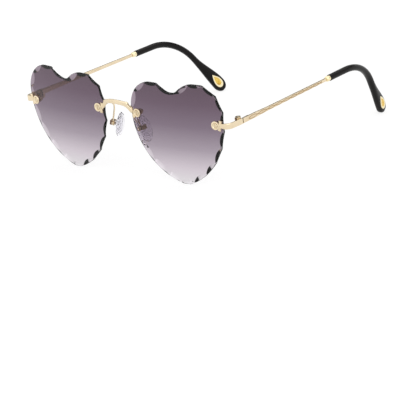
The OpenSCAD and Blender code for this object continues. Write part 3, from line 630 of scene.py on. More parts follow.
def pad_mesh():
    """The pad: slightly egg shaped ovals, whose half size follows a rounded profile through its thickness."""
    u = np.concatenate([[0, 0.015, 0.04], np.linspace(0.07, 1, 22)])
    size = np.interp(u, PAD_PROFILE[:, 0], PAD_PROFILE[:, 1])
    size[1:-1] = (size[:-2] + 2 * size[1:-1] + size[2:]) / 4
    a = round_angles(PAD_POINTS)
    egg = 1 - PAD_EGG * np.sin(a)
    rings = np.stack([
        np.broadcast_to((-PAD_BACK - u * PAD_T)[:, None], (len(u), len(a))),
        size[:, None] * (egg * np.cos(a))[None, :] * PAD_W / 2 + PAD_SHIFT,
        size[:, None] * np.sin(a)[None, :] * PAD_L / 2 - PAD_LOW,
    ], axis=-1)
    points, faces = skin(rings)
    return at_pad(points), faces


def bow(p, q, r, steps):
    """A curve that leaves p towards q and reaches r: (1-u)^2 p + 2u(1-u) q + u^2 r."""
    u = np.linspace(0, 1, steps)[:, None]
    return (1 - u) ** 2 * p + 2 * u * (1 - u) * q + u**2 * r


def pad_arm_mesh():
    """The wire from the back of the bridge bar down to the pad box, on the way that its solid takes."""
    bow_r = arc_radius(BRIDGE_HALF_W, BRIDGE_BOW)
    reach = bow_r - BAR_T / 2
    x = 0.72 * BRIDGE_HALF_W
    y = BAR_T / 2 - BRIDGE_FRONT + bow_r - np.sqrt(reach**2 - x**2)
    way = np.arcsin(x / reach)
    root = np.array([x, y, BRIDGE_TOP_Z - BRIDGE_RISE - BAR_H / 3])
    back = root + ARM_D * np.array([-np.sin(way), np.cos(way), 0])
    knee = np.array([0.86 * BRIDGE_HALF_W, 2.2 * ARM_D, BRIDGE_TOP_Z - 2.6 * BAR_H])
    hook, end = at_pad([[0, PAD_BOX_Y, PAD_BOX_H / 2 + 2 * ARM_D], [0, PAD_BOX_Y, PAD_BOX_H / 2]])
    path = np.concatenate([
        [root],
        bow(mix(root, back, 0.5), back, mix(back, knee, 0.4), 8),
        bow(mix(back, knee, 0.6), knee, mix(knee, hook, 0.4), 8),
        bow(mix(knee, hook, 0.8), hook, mix(hook, end, 0.6), 8),
        [end],
    ])
    section = rays(round_angles(16))
    return skin(sweep(eased(path, ARM_EASE), [0.3, 1, 0.2], section, ARM_D / 2, ARM_D / 2))


# Temple

TIP_START = TEMPLE_L + COLLAR_L
BEND_START = TIP_START + TIP_STRAIGHT
BEND_END = BEND_START + TIP_BEND_L


def way_angles(s):
    """Pitch and yaw of the temple's middle line at distance s: both change evenly along the bend."""
    share = np.clip((np.asarray(s, float) - BEND_START) / TIP_BEND_L, 0, 1)
    return np.radians(mix(-TEMPLE_RISE, TIP_PITCH, share)), np.radians(mix(TEMPLE_YAW, TIP_LEAN, share))


def way_frame(s):
    """Directions along, across and up from the middle line at distance s."""
    pitch, yaw = way_angles(s)
    zero = np.zeros_like(pitch)
    along = np.stack([-np.sin(yaw) * np.cos(pitch), np.cos(yaw) * np.cos(pitch), -np.sin(pitch)], axis=-1)
    across = np.stack([np.cos(yaw), np.sin(yaw), zero], axis=-1)
    up = np.stack([-np.sin(yaw) * np.sin(pitch), np.cos(yaw) * np.sin(pitch), np.cos(pitch)], axis=-1)
    return along, across, up


# Length of the middle line that is worked out, past the tip's end, and the steps that it is summed in
WAY_REACH = 160
WAY_STEP = 0.05
WAY_RUN = np.arange(0, WAY_REACH, WAY_STEP)
WAY_POINTS = TEMPLE_ROOT + np.concatenate([
    np.zeros((1, 3)),
    np.cumsum(way_frame(WAY_RUN[:-1] + WAY_STEP / 2)[0] * WAY_STEP, axis=0),
])


def way_point(s):
    """The middle line at distance s: its direction summed in small steps."""
    return np.stack([np.interp(s, WAY_RUN, WAY_POINTS[:, k]) for k in range(3)], axis=-1)


BEND_LAST = way_point(BEND_END)
PADDLE_END_L = 0.66 * PADDLE_W
PITCH_SIN, PITCH_COS = np.sin(np.radians(TIP_PITCH)), np.cos(np.radians(TIP_PITCH))
TWIST_SIN, TWIST_COS = np.sin(np.radians(PADDLE_TWIST)), np.cos(np.radians(PADDLE_TWIST))
PADDLE_DIP = np.linalg.norm([
    PADDLE_END_L * PITCH_SIN,
    PADDLE_W / 2 * PITCH_COS * TWIST_COS,
    TIP_T / 2 * PITCH_COS * TWIST_SIN,
])
PADDLE_DROP = BEND_LAST[2] + PADDLE_SHIFT * PITCH_COS * TWIST_COS + TIP_FOOT_FLAT - PADDLE_DIP
TIP_END = BEND_END + PADDLE_DROP / PITCH_SIN + PADDLE_END_L
PADDLE_MID = TIP_END - 0.8 * DROP_L


def turned_on_way(profile, count):
    """A profile of (distance, radius) pairs turned about the temple's middle line, as rings."""
    s, r = np.array(profile, float).T
    _, across, up = way_frame(s)
    x, y = rays(round_angles(count)).T
    return rings_square_to(way_point(s), across, up, r[:, None] * x, r[:, None] * y)


# Engraving: its start, the end of its long leaves, and how far before the temple's end it stops
ENGRAVE_START = 3.6
LONG_LEAF_END = 19
ENGRAVE_STOP = 3.5
LONG_LEAF = 7.6
SHORT_LEAF = 6.0
LEAF_SHARE = 0.56
ENGRAVE_D = 0.11
GROOVE_HALF_W = 0.17
RIB_HALF_W = 0.12
RIB_SHARE = 0.45


def groove_depth(s, v, half_h):
    """Share of the engraving's full depth at s along and v across the temple: two waves that cross and part
    like a twisted ribbon, v = +-a sin(pi s / leaf), and a rib between them, cut as round grooves.
    """
    leaf = np.where(s < LONG_LEAF_END, LONG_LEAF, SHORT_LEAF)
    start = np.where(s < LONG_LEAF_END, ENGRAVE_START, LONG_LEAF_END)
    wave = np.sin(np.pi * (s - start) / leaf)
    swing = LEAF_SHARE * half_h * wave
    near = np.minimum(np.abs(v - swing), np.abs(v + swing))
    inside = smooth_step(s - ENGRAVE_START) * smooth_step(TEMPLE_L - ENGRAVE_STOP - s)
    rib = RIB_SHARE * np.exp(-((v / RIB_HALF_W) ** 2)) * wave**2
    return (np.exp(-((near / GROOVE_HALF_W) ** 2)) + rib) * inside


# Shares of the temple's length, and of the way from its end's height to its front's height there
TEMPLE_SHARES = np.array([[0, 1], [0.15, 0.94], [0.3, 0.35], [1, 0]])
TEMPLE_CORNER = 0.22
TEMPLE_RINGS = 440
OUTER_POINTS = 25


def temple_mesh():
    """The temple bar: a round cornered section whose height follows the solid's, engraved on its outer face,
    with the core wire behind it.
    """
    s = np.linspace(0, TEMPLE_L, TEMPLE_RINGS)
    share = np.interp(s / TEMPLE_L, TEMPLE_SHARES[:, 0], TEMPLE_SHARES[:, 1])
    half_h = mix(TEMPLE_END_H, TEMPLE_H, share) / 2
    half_t = TEMPLE_T / 2
    corner = TEMPLE_CORNER
    v = np.linspace(-1, 1, OUTER_POINTS)
    quarter = np.linspace(0, np.pi / 2, 5)[1:-1]
    flat = half_h[:, None] - corner
    outer_up = flat * v[None, :]
    depth = groove_depth(s[:, None], outer_up, half_h[:, None])
    outer_x = half_t - ENGRAVE_D * depth
    ones = np.ones((len(s), 1))
    top_x = half_t - corner + corner * np.cos(quarter)
    top_up = flat + corner * np.sin(quarter)
    x = np.concatenate([
        outer_x, ones * top_x, ones * [half_t - corner, corner - half_t], -ones * top_x[::-1],
        -ones * half_t, -ones * half_t, -ones * top_x, ones * [corner - half_t, half_t - corner],
        ones * top_x[::-1],
    ], axis=1)
    up = np.concatenate([
        outer_up, top_up, half_h[:, None] * [1, 1], top_up[:, ::-1],
        flat, -flat, -top_up, -half_h[:, None] * [1, 1],
        -top_up[:, ::-1],
    ], axis=1)
    groove = np.zeros_like(x)
    groove[:, :OUTER_POINTS] = depth
    _, across, upward = way_frame(s)
    bar = skin(rings_square_to(way_point(s), across, upward, x, up))
    core = skin(turned_on_way([(d, CORE_D / 2) for d in np.linspace(TEMPLE_L - 1, BEND_START, 6)], 14))
    points, faces = joined(bar, core)
    return points, faces, np.concatenate([groove.reshape(-1), np.zeros(len(points) - groove.size)])


def collar_mesh():
    """The collar: a waist towards the temple bar, a groove, and a bright end ring against the tip."""
    r = COLLAR_D / 2
    waist = 0.86 * r
    start = TEMPLE_L + SEAT_GAP
    end = TIP_START - SEAT_GAP
    step = start + COLLAR_L / 4
    bore = CORE_D / 2 + 0.05
    return skin(turned_on_way([
        (end, bore), (end, r - 0.12), (end - 0.12, r), (end - 0.75, r), (end - 0.85, r - 0.14),
        (end - 1.0, r - 0.14), (end - 1.1, r), (step + 0.15, r), (step, r - 0.15),
        (step, waist), (start + 0.12, waist), (start, waist - 0.12), (start, bore),
    ], 36))


def paddle_share(s):
    """How far the tip has widened into the paddle at s, from 0 to 1."""
    return smooth_step((s - BEND_END) / (TIP_END - PADDLE_END_L - BEND_END))


def tip_halves(s):
    """Half width and half thickness of the tip at s, rounded off at the paddle's end and at the collar."""
    half_w = mix(TIP_START_W, PADDLE_W, paddle_share(s)) / 2 * rounded_off(TIP_END - s, PADDLE_END_L)
    grow = np.clip((s - TIP_START) / TIP_STRAIGHT, 0, 1)
    half_t = mix(TIP_START_W, TIP_T, grow) / 2 * rounded_off(TIP_END - s, TIP_T / 2)
    inset = TIP_INSET * (1 - rounded_off(s - TIP_START, TIP_INSET))
    return half_w - inset, half_t - inset


def squareness(s):
    """Exponent of the section's sine and cosine: 1 is round, and smaller is flatter sided."""
    return mix(1, PADDLE_POWER, paddle_share(s))


def tip_frame(s):
    """Middle, thickness direction and width direction of the tip at s: the paddle turns about its length and
    shifts towards its back edge as it widens.
    """
    share = paddle_share(s)[:, None]
    twist = np.radians(PADDLE_TWIST * share)
    _, across, up = way_frame(s)
    thick = across * np.cos(twist) - up * np.sin(twist)
    wide = up * np.cos(twist) + across * np.sin(twist)
    return way_point(s) + PADDLE_SHIFT * share * wide, thick, wide


TIP_POINTS = 56


def tip_mesh():
    """The black tip: flat sided sections along the bend, which widen into the paddle and round off."""
    s = np.concatenate([
        TIP_START + TIP_INSET * np.array([0, 0.08, 0.24, 0.52, 1]),
        np.linspace(TIP_START + 0.6, BEND_START, 16),
        np.linspace(BEND_START, BEND_END, 46)[1:],
        np.linspace(BEND_END, TIP_END - PADDLE_END_L, 24)[1:],
        TIP_END - PADDLE_END_L * (1 - np.sin(np.radians(np.linspace(0, 88, 22)[1:]))),
    ])
    a = round_angles(TIP_POINTS)
    power = squareness(s)[:, None]
    c = np.sign(np.cos(a)) * np.abs(np.cos(a)) ** power
    v = np.sign(np.sin(a)) * np.abs(np.sin(a)) ** power
    half_w, half_t = tip_halves(s)
    middle, thick, wide = tip_frame(s)
    points, faces = skin(rings_square_to(middle, thick, wide, half_t[:, None] * c, half_w[:, None] * v))
    points[:, 2] = np.maximum(points[:, 2], 0)
    return points, faces


# Size and rise of the drop's rings, from its field over the raised rim to its wall
DROP_PROFILE = [
    (0.04, 0.03), (0.2, 0.03), (0.4, 0.03), (0.56, 0.035), (0.66, 0.05), (0.7, 0.09), (0.74, 0.17),
    (0.79, 0.22), (0.86, 0.23), (0.93, 0.2), (0.98, 0.1), (1.0, -0.1),
]
FIELD_SHARE = 0.68
DROP_POINTS = 96
# w in the drop's formula, as a share of its half width
DROP_FULLNESS = 1.16


def inlay_mesh():
    """The drop: -l/2 cos(a) along the tip and w sin(a) sin(a/2)^0.9 across it, so that its point lies up the
    tip. On each face of the paddle a raised rim stands round a field that follows the face.
    """
    a = round_angles(DROP_POINTS)
    drop = np.stack([
        -DROP_L / 2 * np.cos(a),
        DROP_W / 2 * DROP_FULLNESS * np.sin(a) * np.abs(np.sin(a / 2)) ** 0.9,
    ], axis=1)
    mid_share = paddle_share(np.array(PADDLE_MID))
    rings = []
    slots = []
    for face, levels in ((1, DROP_PROFILE), (-1, DROP_PROFILE[::-1])):
        for size, rise in levels:
            s = PADDLE_MID + drop[:, 0] * size
            middle, thick, wide = tip_frame(s)
            half_w, half_t = tip_halves(s)
            w = drop[:, 1] * size + PADDLE_SHIFT * (mid_share - paddle_share(s))
            power = 2 / squareness(s)
            surface = half_t * np.maximum(0, 1 - np.abs(w / half_w) ** power) ** (1 / power)
            level = face * (surface + rise)
            rings.append(middle + w[:, None] * wide + level[:, None] * thick)
            slots.append(0 if size > FIELD_SHARE else 1)
    points, faces = skin(np.array(rings))
    wall_slots = np.repeat(np.minimum(slots[1:], slots[:-1]), DROP_POINTS).tolist()
    return points, faces, wall_slots + [1] * (2 * DROP_POINTS)


# Materials


def feed(owner, node, name, value):
    """One socket of a node in a material or the world, set to a value or linked to another node's output."""
    if isinstance(value, bpy.types.NodeSocket):
        owner.node_tree.links.new(value, node.inputs[name])
    else:
        node.inputs[name].default_value = value


def add_node(owner, kind, inputs=None, **properties):
    """A new node of that kind, with its properties set and its sockets fed from the dict inputs."""
    node = owner.node_tree.nodes.new(kind)
    for name, value in properties.items():
        setattr(node, name, value)
    for name, value in (inputs or {}).items():
        feed(owner, node, name, value)
    return node


def new_material(name, sockets):
    """A node material with its Principled shader, set to the plain values in sockets, and its output."""
    material = bpy.data.materials.new(name)
    material.use_nodes = True
    material.node_tree.nodes.clear()
    out = add_node(material, "ShaderNodeOutputMaterial")
    shader = add_node(material, "ShaderNodeBsdfPrincipled", sockets)
    feed(material, out, "Surface", shader.outputs["BSDF"])
    return material, shader, out


def ramp(material, source, stops):
    """A colour ramp fed by source, with stops of (place, grey or colour)."""
    node = add_node(material, "ShaderNodeValToRGB", {"Fac": source})
    elements = node.color_ramp.elements
    while len(elements) < len(stops):
        elements.new(0.5)
    for element, (place, colour) in zip(elements, stops):
        element.position = place
        element.color = (*colour, 1) if isinstance(colour, tuple) else (colour, colour, colour, 1)
    return node.outputs["Color"]


def spread(material, source, low, high, start=0.0, end=1.0):
    """A number that runs from low to high as source runs from start to end."""
    node = add_node(material, "ShaderNodeMapRange", {
        "Value": source, "From Min": start, "From Max": end, "To Min": low, "To Max": high,
    })
    return node.outputs["Result"]


def blended(material, share, first, second):
    """The colour that lies share of the way from the output first to the plain colour second."""
    node = add_node(material, "ShaderNodeMix", {"Factor": share}, data_type="RGBA")
    a, b = (socket for socket in node.inputs if socket.type == "RGBA")
    material.node_tree.links.new(first, a)
    b.default_value = (*second, 1)
    return next(socket for socket in node.outputs if socket.type == "RGBA")


def object_noise(material, scale, detail, stretch=(1, 1, 1)):
    """Noise on object coordinates in metres, drawn out along the axes whose stretch is small."""
    place = add_node(material, "ShaderNodeTexCoord").outputs["Object"]
    drawn = add_node(material, "ShaderNodeMapping", {"Vector": place, "Scale": stretch}).outputs["Vector"]
    noise = add_node(material, "ShaderNodeTexNoise", {"Vector": drawn, "Scale": scale, "Detail": detail})
    return noise.outputs["Fac"]


def rub_marks(material, shader, rub, strength, height):
    """The noise rub raised as marks on a shader's surface, height in metres."""
    bump = add_node(material, "ShaderNodeBump", {"Height": rub, "Strength": strength, "Distance": height})
    feed(material, shader, "Normal", bump.outputs["Normal"])


def clouded_material(name, stops, sockets, scale, detail, gloss=None):
    """A material whose colour drifts through the stops with noise of that scale and detail. gloss, where
    given, is the range through which its roughness follows the same noise.
    """
    material, shader, out = new_material(name, sockets)
    cloud = object_noise(material, scale, detail)
    feed(material, shader, "Base Color", ramp(material, cloud, stops))
    if gloss:
        feed(material, shader, "Roughness", spread(material, cloud, *gloss))
    return material, shader, out


# Painted shade colour and added roughness at the bottom of the engraving
GROOVE_PAINTED_SHADE = (0.44, 0.3, 0.15)
GROOVE_DULL = 0.25


def gold_material(name, dark, light, rough, engraved=False):
    """Polished champagne gold plate: its tone drifts a little, and fine rub marks change its gloss.
    Engraved metal is duller in its grooves, and painted shade darkens them.
    """
    material, shader, _ = new_material(name, {"Metallic": 1.0})
    drift = object_noise(material, scale=140, detail=2)
    tone = ramp(material, drift, [(0.35, dark), (0.65, light)])
    rub = object_noise(material, scale=1500, detail=4, stretch=(1, 0.25, 1))
    gloss = spread(material, rub, low=0.75 * rough, high=1.35 * rough)
    if engraved:
        groove = add_node(material, "ShaderNodeAttribute", attribute_name="groove")
        deep = ramp(material, groove.outputs["Fac"], [(0.15, 0.0), (0.6, 1.0)])
        # The grooves' depth darkens the tone: painted shade in the engraving
        tone = blended(material, deep, tone, GROOVE_PAINTED_SHADE)
        dulled = {0: deep, 1: GROOVE_DULL, 2: gloss}
        gloss = add_node(material, "ShaderNodeMath", dulled, operation="MULTIPLY_ADD").outputs["Value"]
    feed(material, shader, "Base Color", tone)
    feed(material, shader, "Roughness", gloss)
    rub_marks(material, shader, rub, strength=0.04, height=0.00005)
    return material


# Tint of the lens from its foot to its top, with the heights as shares of the lens height
TINT_STOPS = (
    (0.0, (1.0, 0.99, 1.0)),
    (0.16, (0.83, 0.755, 0.82)),
    (0.36, (0.475, 0.41, 0.475)),
    (0.58, (0.268, 0.207, 0.267)),
    (0.8, (0.178, 0.121, 0.167)),
    (1.0, (0.143, 0.096, 0.129)),
)
CLEAR_EDGE = (0.86, 0.82, 0.86)
LENS_GLARE = (0.45, 0.45, 0.45, 1)
LENS_BODY = (0.26, 0.22, 0.25, 1)
BODY_DENSITY = 170.0


def lens_material():
    """Polished lens plastic. Its faces are tinted, and the tint fades towards the foot with height above the
    table, while the ground edge is clear. Lamps shine through it, and long ways inside it go dark.
    """
    material, shader, out = new_material("tinted_lens_plastic", {
        "Transmission Weight": 1.0, "IOR": 1.5, "Specular Tint": LENS_GLARE,
    })
    place = add_node(material, "ShaderNodeTexCoord").outputs["Object"]
    height = add_node(material, "ShaderNodeSeparateXYZ", {"Vector": place}).outputs["Z"]
    share = spread(material, height, low=0.0, high=1.0, start=0.0, end=LENS_H * MM)
    ground = add_node(material, "ShaderNodeAttribute", attribute_name="ground").outputs["Fac"]
    tint = blended(material, ground, ramp(material, share, TINT_STOPS), CLEAR_EDGE)
    feed(material, shader, "Base Color", tint)
    marks = object_noise(material, scale=220, detail=3)
    feed(material, shader, "Roughness", spread(material, marks, low=0.0, high=0.004))
    film = add_node(material, "ShaderNodeBsdfTransparent", {"Color": tint}).outputs["BSDF"]
    shadow = add_node(material, "ShaderNodeLightPath").outputs["Is Shadow Ray"]
    pick = add_node(material, "ShaderNodeMixShader", {"Fac": shadow, 1: shader.outputs["BSDF"], 2: film})
    body = add_node(material, "ShaderNodeVolumeAbsorption", {"Color": LENS_BODY, "Density": BODY_DENSITY})
    feed(material, out, "Surface", pick.outputs["Shader"])
    feed(material, out, "Volume", body.outputs["Volume"])
    return material


def silicone_material():
    """Clear silicone: faintly cloudy and blue, with a fine skin that breaks up its gloss."""
    stops = [(0.3, (0.94, 0.93, 0.97)), (0.7, (0.98, 0.97, 1.0))]
    sockets = {"Transmission Weight": 0.94, "IOR": 1.37}
    return clouded_material("clear_silicone_skin", stops, sockets, scale=420, detail=3, gloss=(0.18, 0.28))[0]


def black_material():
    """Black acetate with a soft gloss: faint brown clouds, and drawn out rub marks that break it up."""
    stops = [(0.3, (0.004, 0.0035, 0.0035)), (0.75, (0.011, 0.009, 0.0085))]
    sockets = {"Specular IOR Level": 0.15}
    material, shader, _ = clouded_material("black_acetate", stops, sockets, scale=90, detail=4)
    rub = object_noise(material, scale=700, detail=4, stretch=(1, 0.3, 1))
    feed(material, shader, "Roughness", spread(material, rub, low=0.22, high=0.34))
    rub_marks(material, shader, rub, strength=0.05, height=0.00004)
    return material


def amber_material():
    """The field of the drop: brushed amber gold, deeper in patches."""
    stops = [(0.3, (0.58, 0.33, 0.05)), (0.5, (0.84, 0.56, 0.1)), (0.75, (0.96, 0.74, 0.24))]
    sockets = {"Metallic": 0.75}
    return clouded_material("amber_field", stops, sockets, scale=520, detail=3, gloss=(0.22, 0.42))[0]


def sleeve_material():
    """Milky plastic of the sleeves in the lens holes."""
    stops = [(0.3, (0.5, 0.47, 0.46)), (0.7, (0.66, 0.62, 0.6))]
    return clouded_material("milky_sleeve", stops, {"Roughness": 0.4}, scale=900, detail=2)[0]


def insert_material():
    """Clear plastic of the inserts in the nose pads, faintly cloudy."""
    stops = [(0.3, (0.95, 0.94, 0.98)), (0.7, (0.99, 0.98, 1.0))]
    sockets = {"Transmission Weight": 0.96, "IOR": 1.36, "Roughness": 0.25}
    return clouded_material("clear_insert", stops, sockets, scale=700, detail=2)[0]


gold = gold_material("champagne_gold", (0.77, 0.635, 0.43), (0.83, 0.70, 0.495), 0.16)
engraved_gold = gold_material("engraved_gold", (0.77, 0.63, 0.43), (0.83, 0.70, 0.50), 0.2, engraved=True)
screw_gold = gold_material("screw_gold", (0.70, 0.58, 0.40), (0.80, 0.68, 0.48), 0.2)
# The cap nuts are a darker copy of the gold: painted shade for their place behind the tinted lens
painted_shade_nut_gold = gold_material("painted_shade_nut_gold", (0.42, 0.31, 0.2), (0.56, 0.43, 0.29), 0.18)
# The pad boxes are a darker copy of the gold, with painted shade and a painted dark reflection
shaded_box_gold = gold_material("pad_box_painted_shade_gold", (0.26, 0.18, 0.11), (0.60, 0.47, 0.31), 0.14)
bright_gold = gold_material("bright_rim_gold", (0.92, 0.8, 0.5), (0.97, 0.88, 0.62), 0.14)
lens_plastic = lens_material()
silicone = silicone_material()
black = black_material()
amber = amber_material()
sleeve = sleeve_material()
insert_plastic = insert_material()


# Pieces

# Metres within which corners are merged, and angles up to which faces count as flat and edges as soft
WELD_REACH = 2e-6
FLAT_ANGLE = 0.5
EASED_SHARP = 30
BEVEL_ANGLE = 40


def in_scene(name, data):
    """The object that carries a mesh, a lamp or a camera, put in the scene."""
    thing = bpy.data.objects.new(name, data)
    bpy.context.scene.collection.objects.link(thing)
    return thing


def turn_faces_out(source, target, merge=False):
    """The mesh source written to target with the faces of every closed shell turned outwards. With merge,
    its loose triangles are merged first, and those that lie flat side by side become one face.
    """
    mesh = bmesh.new()
    mesh.from_mesh(source)
    if merge:
        flat = np.radians(FLAT_ANGLE)
        bmesh.ops.remove_doubles(mesh, verts=mesh.verts, dist=WELD_REACH)
        bmesh.ops.dissolve_limit(mesh, angle_limit=flat, verts=mesh.verts, edges=mesh.edges)
    bmesh.ops.recalc_face_normals(mesh, faces=mesh.faces)
    mesh.to_mesh(target)
    mesh.free()


def shade(mesh, sharp):
    """Smooth shading, but for edges sharper than that angle in degrees."""
    mesh.polygons.foreach_set("use_smooth", np.ones(len(mesh.polygons), bool))
    mesh.set_sharp_from_angle(angle=np.radians(sharp))


def dress(name, shape, materials, body, node, slots=None, sharp=35):
    """A piece that stands for one node, made from its left hand shape: points in millimetres, and faces. The
    shape of a right hand node is mirrored across the middle plane.
    """
    points, faces = shape
    points = (points - [0, DEPTH_MID, 0]) * MM
    if node.startswith("right"):
        points[:, 0] *= -1
        faces = [face[::-1] for face in faces]
    mesh = bpy.data.meshes.new(name)
    mesh.from_pydata(points.tolist(), [], faces)
    for material in materials:
        mesh.materials.append(material)
    if slots is not None:
        mesh.polygons.foreach_set("material_index", np.asarray(slots, np.int32))
    turn_faces_out(mesh, mesh)
    shade(mesh, sharp)
    piece = in_scene(name, mesh)
    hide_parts(node)
    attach(piece, body)
    return piece


def mark(piece, name, domain, values):
    """One number for each face or point of a piece, which its material reads by that name."""
    layer = piece.data.attributes.new(name, "FLOAT", domain)
    layer.data.foreach_set("value", np.asarray(values, np.float32))


def eased_copy(node, width, material, body):
    """A copy of a node's solid, with a bevel that rounds every edge sharper than BEVEL_ANGLE."""
    mesh = bpy.data.meshes.new(f"{node}_eased")
    turn_faces_out(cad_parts[node].data, mesh, merge=True)
    shade(mesh, EASED_SHARP)
    mesh.materials.clear()
    mesh.materials.append(material)
    piece = in_scene(f"{node}_eased", mesh)
    bevel = piece.modifiers.new("eased", "BEVEL")
    bevel.width = width * MM
    bevel.segments = 2
    bevel.limit_method = "ANGLE"
    bevel.angle_limit = np.radians(BEVEL_ANGLE)
    bevel.use_clamp_overlap = True
    bevel.harden_normals = True
    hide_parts(node)
    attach(piece, body)
    return piece


# Solids that show with their edges eased, with the width of the bevel in millimetres
EASED_SOLIDS = {
    # The pad box takes gold darkened with painted shade and a painted dark reflection
    "pad_box": (0.07, shaded_box_gold),
    "front_hinge": (0.09, gold),
    "temple_hinge": (0.09, gold),
    "pad_screw": (0.06, screw_gold),
    "hinge_screw": (0.06, screw_gold),
    "outer_lens_screw": (0.06, screw_gold),
    "inner_lens_screw": (0.06, screw_gold),
    # The cap nuts take gold darkened with painted shade
    "outer_cap_nut": (0.07, painted_shade_nut_gold),
    "inner_cap_nut": (0.07, painted_shade_nut_gold),
}
# Solids that show as they are, by the ending of their nodes' names
KEPT_SOLIDS = {"washer": screw_gold, "lens_sleeve": sleeve, "pad_insert": insert_plastic}

*lens_shape, lens_ground = lens_mesh()
*temple_shape, temple_grooves = temple_mesh()
*inlay_shape, inlay_slots = inlay_mesh()
pad_shape = pad_mesh()
arm_shape = pad_arm_mesh()
endpiece_shape = endpiece_mesh()
collar_shape = collar_mesh()
tip_shape = tip_mesh()

dress("bridge_bar", bridge_mesh(), [gold], FRONT, "bridge")

for side in SIDES:
    arm_body = f"{side}_temple_arm"
    pad_body = f"{side}_nose_pad_unit"
    lens = dress(
        f"{side}_heart_lens", lens_shape, [lens_plastic], FRONT, f"{side}_lens", sharp=9
    )
    mark(lens, "ground", "FACE", lens_ground)
    dress(
        f"{side}_silicone_pad", pad_shape, [silicone], pad_body, f"{side}_nose_pad",
        sharp=60,
    )
    dress(f"{side}_pad_wire", arm_shape, [gold], FRONT, f"{side}_pad_arm")
    dress(f"{side}_end_bar", endpiece_shape, [gold], FRONT, f"{side}_endpiece")
    temple = dress(
        f"{side}_engraved_temple", temple_shape, [engraved_gold], arm_body, f"{side}_temple",
        sharp=50,
    )
    mark(temple, "groove", "POINT", np.clip(temple_grooves, 0, 1))
    dress(f"{side}_stepped_collar", collar_shape, [bright_gold], arm_body, f"{side}_collar")
    dress(f"{side}_black_tip", tip_shape, [black], arm_body, f"{side}_temple_tip", sharp=50)
    dress(
        f"{side}_drop", inlay_shape, [bright_gold, amber], arm_body, f"{side}_drop_inlay",
        inlay_slots, sharp=50,
    )
    for part, (width, material) in EASED_SOLIDS.items():
        body = arm_body if part == "temple_hinge" else FRONT
        eased_copy(f"{side}_{part}", width, material, body)

for node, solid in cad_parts.items():
    for ending, material in KEPT_SOLIDS.items():
        if node.endswith(ending):
            solid.data.materials.clear()
            solid.data.materials.append(material)


# Studio, in metres

WHITE = (1, 1, 1, 1)
MATT = {"Roughness": 1.0, "Specular IOR Level": 0.0}
FLOOR = 6
FLOOR_GLOW = 1.22
ROOM_LIGHT = 0.55

# Share of real paper round the object, and the distances over which it fades out
SHADOW_SHARE = 0.35
SHADOW_NEAR = 0.15
SHADOW_FAR = 0.45


def flat_panel(name, material, corner, across, upward):
    """A flat panel of the studio from its corner and two edges."""
    corner, across, upward = np.array([corner, across, upward], float)
    mesh = bpy.data.meshes.new(name)
    corners = [corner, corner + across, corner + across + upward, corner + upward]
    mesh.from_pydata([p.tolist() for p in corners], [], [[0, 1, 2, 3]])
    mesh.materials.append(material)
    panel = in_scene(name, mesh)
    return panel


def in_view(owner):
    """1 for what the camera, the metal and the glass see, and 0 for light that falls on the object."""
    path = add_node(owner, "ShaderNodeLightPath").outputs
    seen = path["Is Camera Ray"]
    for ray in ("Is Glossy Ray", "Is Transmission Ray"):
        either = add_node(owner, "ShaderNodeMath", {0: seen, 1: path[ray]}, operation="MAXIMUM")
        seen = either.outputs["Value"]
    return seen


def floor_material():
    """White paper: what the camera, the metal and the glass see of it is white light plus a share of real
    paper, which keeps the object's shadow and fades out away from it.
    """
    stops = [(0.0, 0.79), (1.0, 0.81)]
    material, shader, out = clouded_material("white_paper", stops, MATT, scale=900, detail=2)
    paper = shader.outputs["BSDF"]
    light = {"Color": WHITE, "Strength": FLOOR_GLOW}
    glow = add_node(material, "ShaderNodeEmission", light).outputs["Emission"]
    place = add_node(material, "ShaderNodeTexCoord").outputs["Object"]
    reach = add_node(material, "ShaderNodeVectorMath", {0: place}, operation="LENGTH").outputs["Value"]
    share = spread(material, reach, low=SHADOW_SHARE, high=0.0, start=SHADOW_NEAR, end=SHADOW_FAR)
    both = add_node(material, "ShaderNodeMixShader", {"Fac": share, 1: glow, 2: paper}).outputs["Shader"]
    pick = add_node(material, "ShaderNodeMixShader", {"Fac": in_view(material), 1: paper, 2: both})
    feed(material, out, "Surface", pick.outputs["Shader"])
    return material


def flag_material():
    """Black cloth of the studio's flag."""
    return clouded_material("flag_cloth", [(0.0, 0.01), (1.0, 0.03)], MATT, scale=60, detail=2)[0]


def white_room():
    """The world: an even light on the object, and plain white for the camera, the metal and the glass."""
    world = bpy.data.worlds.new("white_room")
    world.use_nodes = True
    world.node_tree.nodes.clear()
    light = add_node(world, "ShaderNodeBackground", {"Color": WHITE, "Strength": ROOM_LIGHT})
    seen = add_node(world, "ShaderNodeBackground", {"Color": WHITE, "Strength": 1.0})
    pick = add_node(world, "ShaderNodeMixShader", {
        "Fac": in_view(world), 1: light.outputs["Background"], 2: seen.outputs["Background"],
    })
    add_node(world, "ShaderNodeOutputWorld", {"Surface": pick.outputs["Shader"]})
    return world


def add_lamp(name, place, aim, size, power):
    """A square soft lamp at place, turned to aim, with its power in watts."""
    data = bpy.data.lights.new(name, "AREA")
    data.shape = "SQUARE"
    data.size = size
    data.energy = power
    lamp = in_scene(name, data)
    lamp.location = place
    lamp.rotation_mode = "QUATERNION"
    lamp.rotation_quaternion = (Vector(aim) - Vector(place)).to_track_quat("-Z", "Y")


flat_panel(
    "paper_floor", floor_material(),
    corner=(-FLOOR / 2, -FLOOR / 2, 0), across=(FLOOR, 0, 0), upward=(0, FLOOR, 0),
)

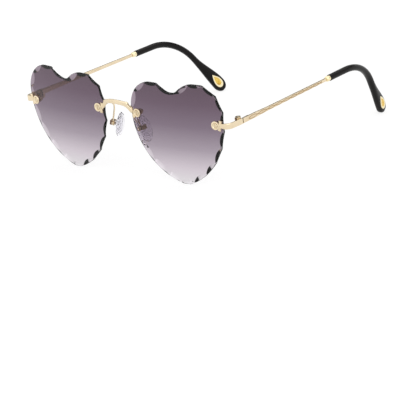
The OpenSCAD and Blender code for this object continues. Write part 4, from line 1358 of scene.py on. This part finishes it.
# A dark strip behind the object and above it, which shows in reflections alone
back_flag = flat_panel(
    "back_flag", flag_material(), corner=(-1.4, 0.75, 0.3), across=(2.0, 0, 0), upward=(0, 0, 0.22)
)
back_flag.visible_camera = False
back_flag.visible_transmission = False
back_flag.visible_diffuse = False
back_flag.visible_shadow = False

add_lamp("top_softbox", place=(0.1, -0.1, 1.1), aim=(0, 0, 0), size=2.2, power=6.0)
add_lamp("left_softbox", place=(0.9, -0.6, 0.7), aim=(0, 0, 0.02), size=1.1, power=4.5)
bpy.context.scene.world = white_room()


# Camera, fitted to the photograph: lengths in pixels and millimetres, angles in degrees

PHOTO_SIZE = 416
FOCAL_PIXELS = 2561.491
SENSOR_W = 36.0
CAMERA_AZIMUTH = 43.67084
CAMERA_HEIGHT_ANGLE = 18.33521
CAMERA_ROLL = -6.82992
# Where the fit's own origin lies from the camera: to its right, down and ahead
TARGET_OFFSET = np.array([-39.74072, -15.94841, 1280.61355])
# How far that origin lies in front of the lens foot
LENS_FOOT_SHIFT = 1.12


def add_camera():
    """The camera at the photograph's place and angle: its axes come from azimuth, height angle and roll."""
    azimuth, elevation, roll = np.radians([CAMERA_AZIMUTH, CAMERA_HEIGHT_ANGLE, CAMERA_ROLL])
    back = np.array([
        np.sin(azimuth) * np.cos(elevation),
        -np.cos(azimuth) * np.cos(elevation),
        np.sin(elevation),
    ])
    level_right = np.array([np.cos(azimuth), np.sin(azimuth), 0])
    level_up = np.cross(back, level_right)
    right = level_right * np.cos(roll) + level_up * np.sin(roll)
    upright = level_up * np.cos(roll) - level_right * np.sin(roll)
    view_rows = np.array([right, -upright, -back])
    place = -view_rows.T @ TARGET_OFFSET - [0, LENS_FOOT_SHIFT + DEPTH_MID, 0]
    data = bpy.data.cameras.new("camera")
    data.sensor_width = SENSOR_W
    data.lens = FOCAL_PIXELS / PHOTO_SIZE * SENSOR_W
    data.clip_start = 0.05
    data.clip_end = 20.0
    camera = in_scene("camera", data)
    camera.location = Vector((place * MM).tolist())
    camera.rotation_mode = "QUATERNION"
    camera.rotation_quaternion = Matrix(np.array([right, upright, back]).T.tolist()).to_quaternion()
    return camera


bpy.context.scene.camera = add_camera()
bpy.context.scene.view_settings.view_transform = "Standard"
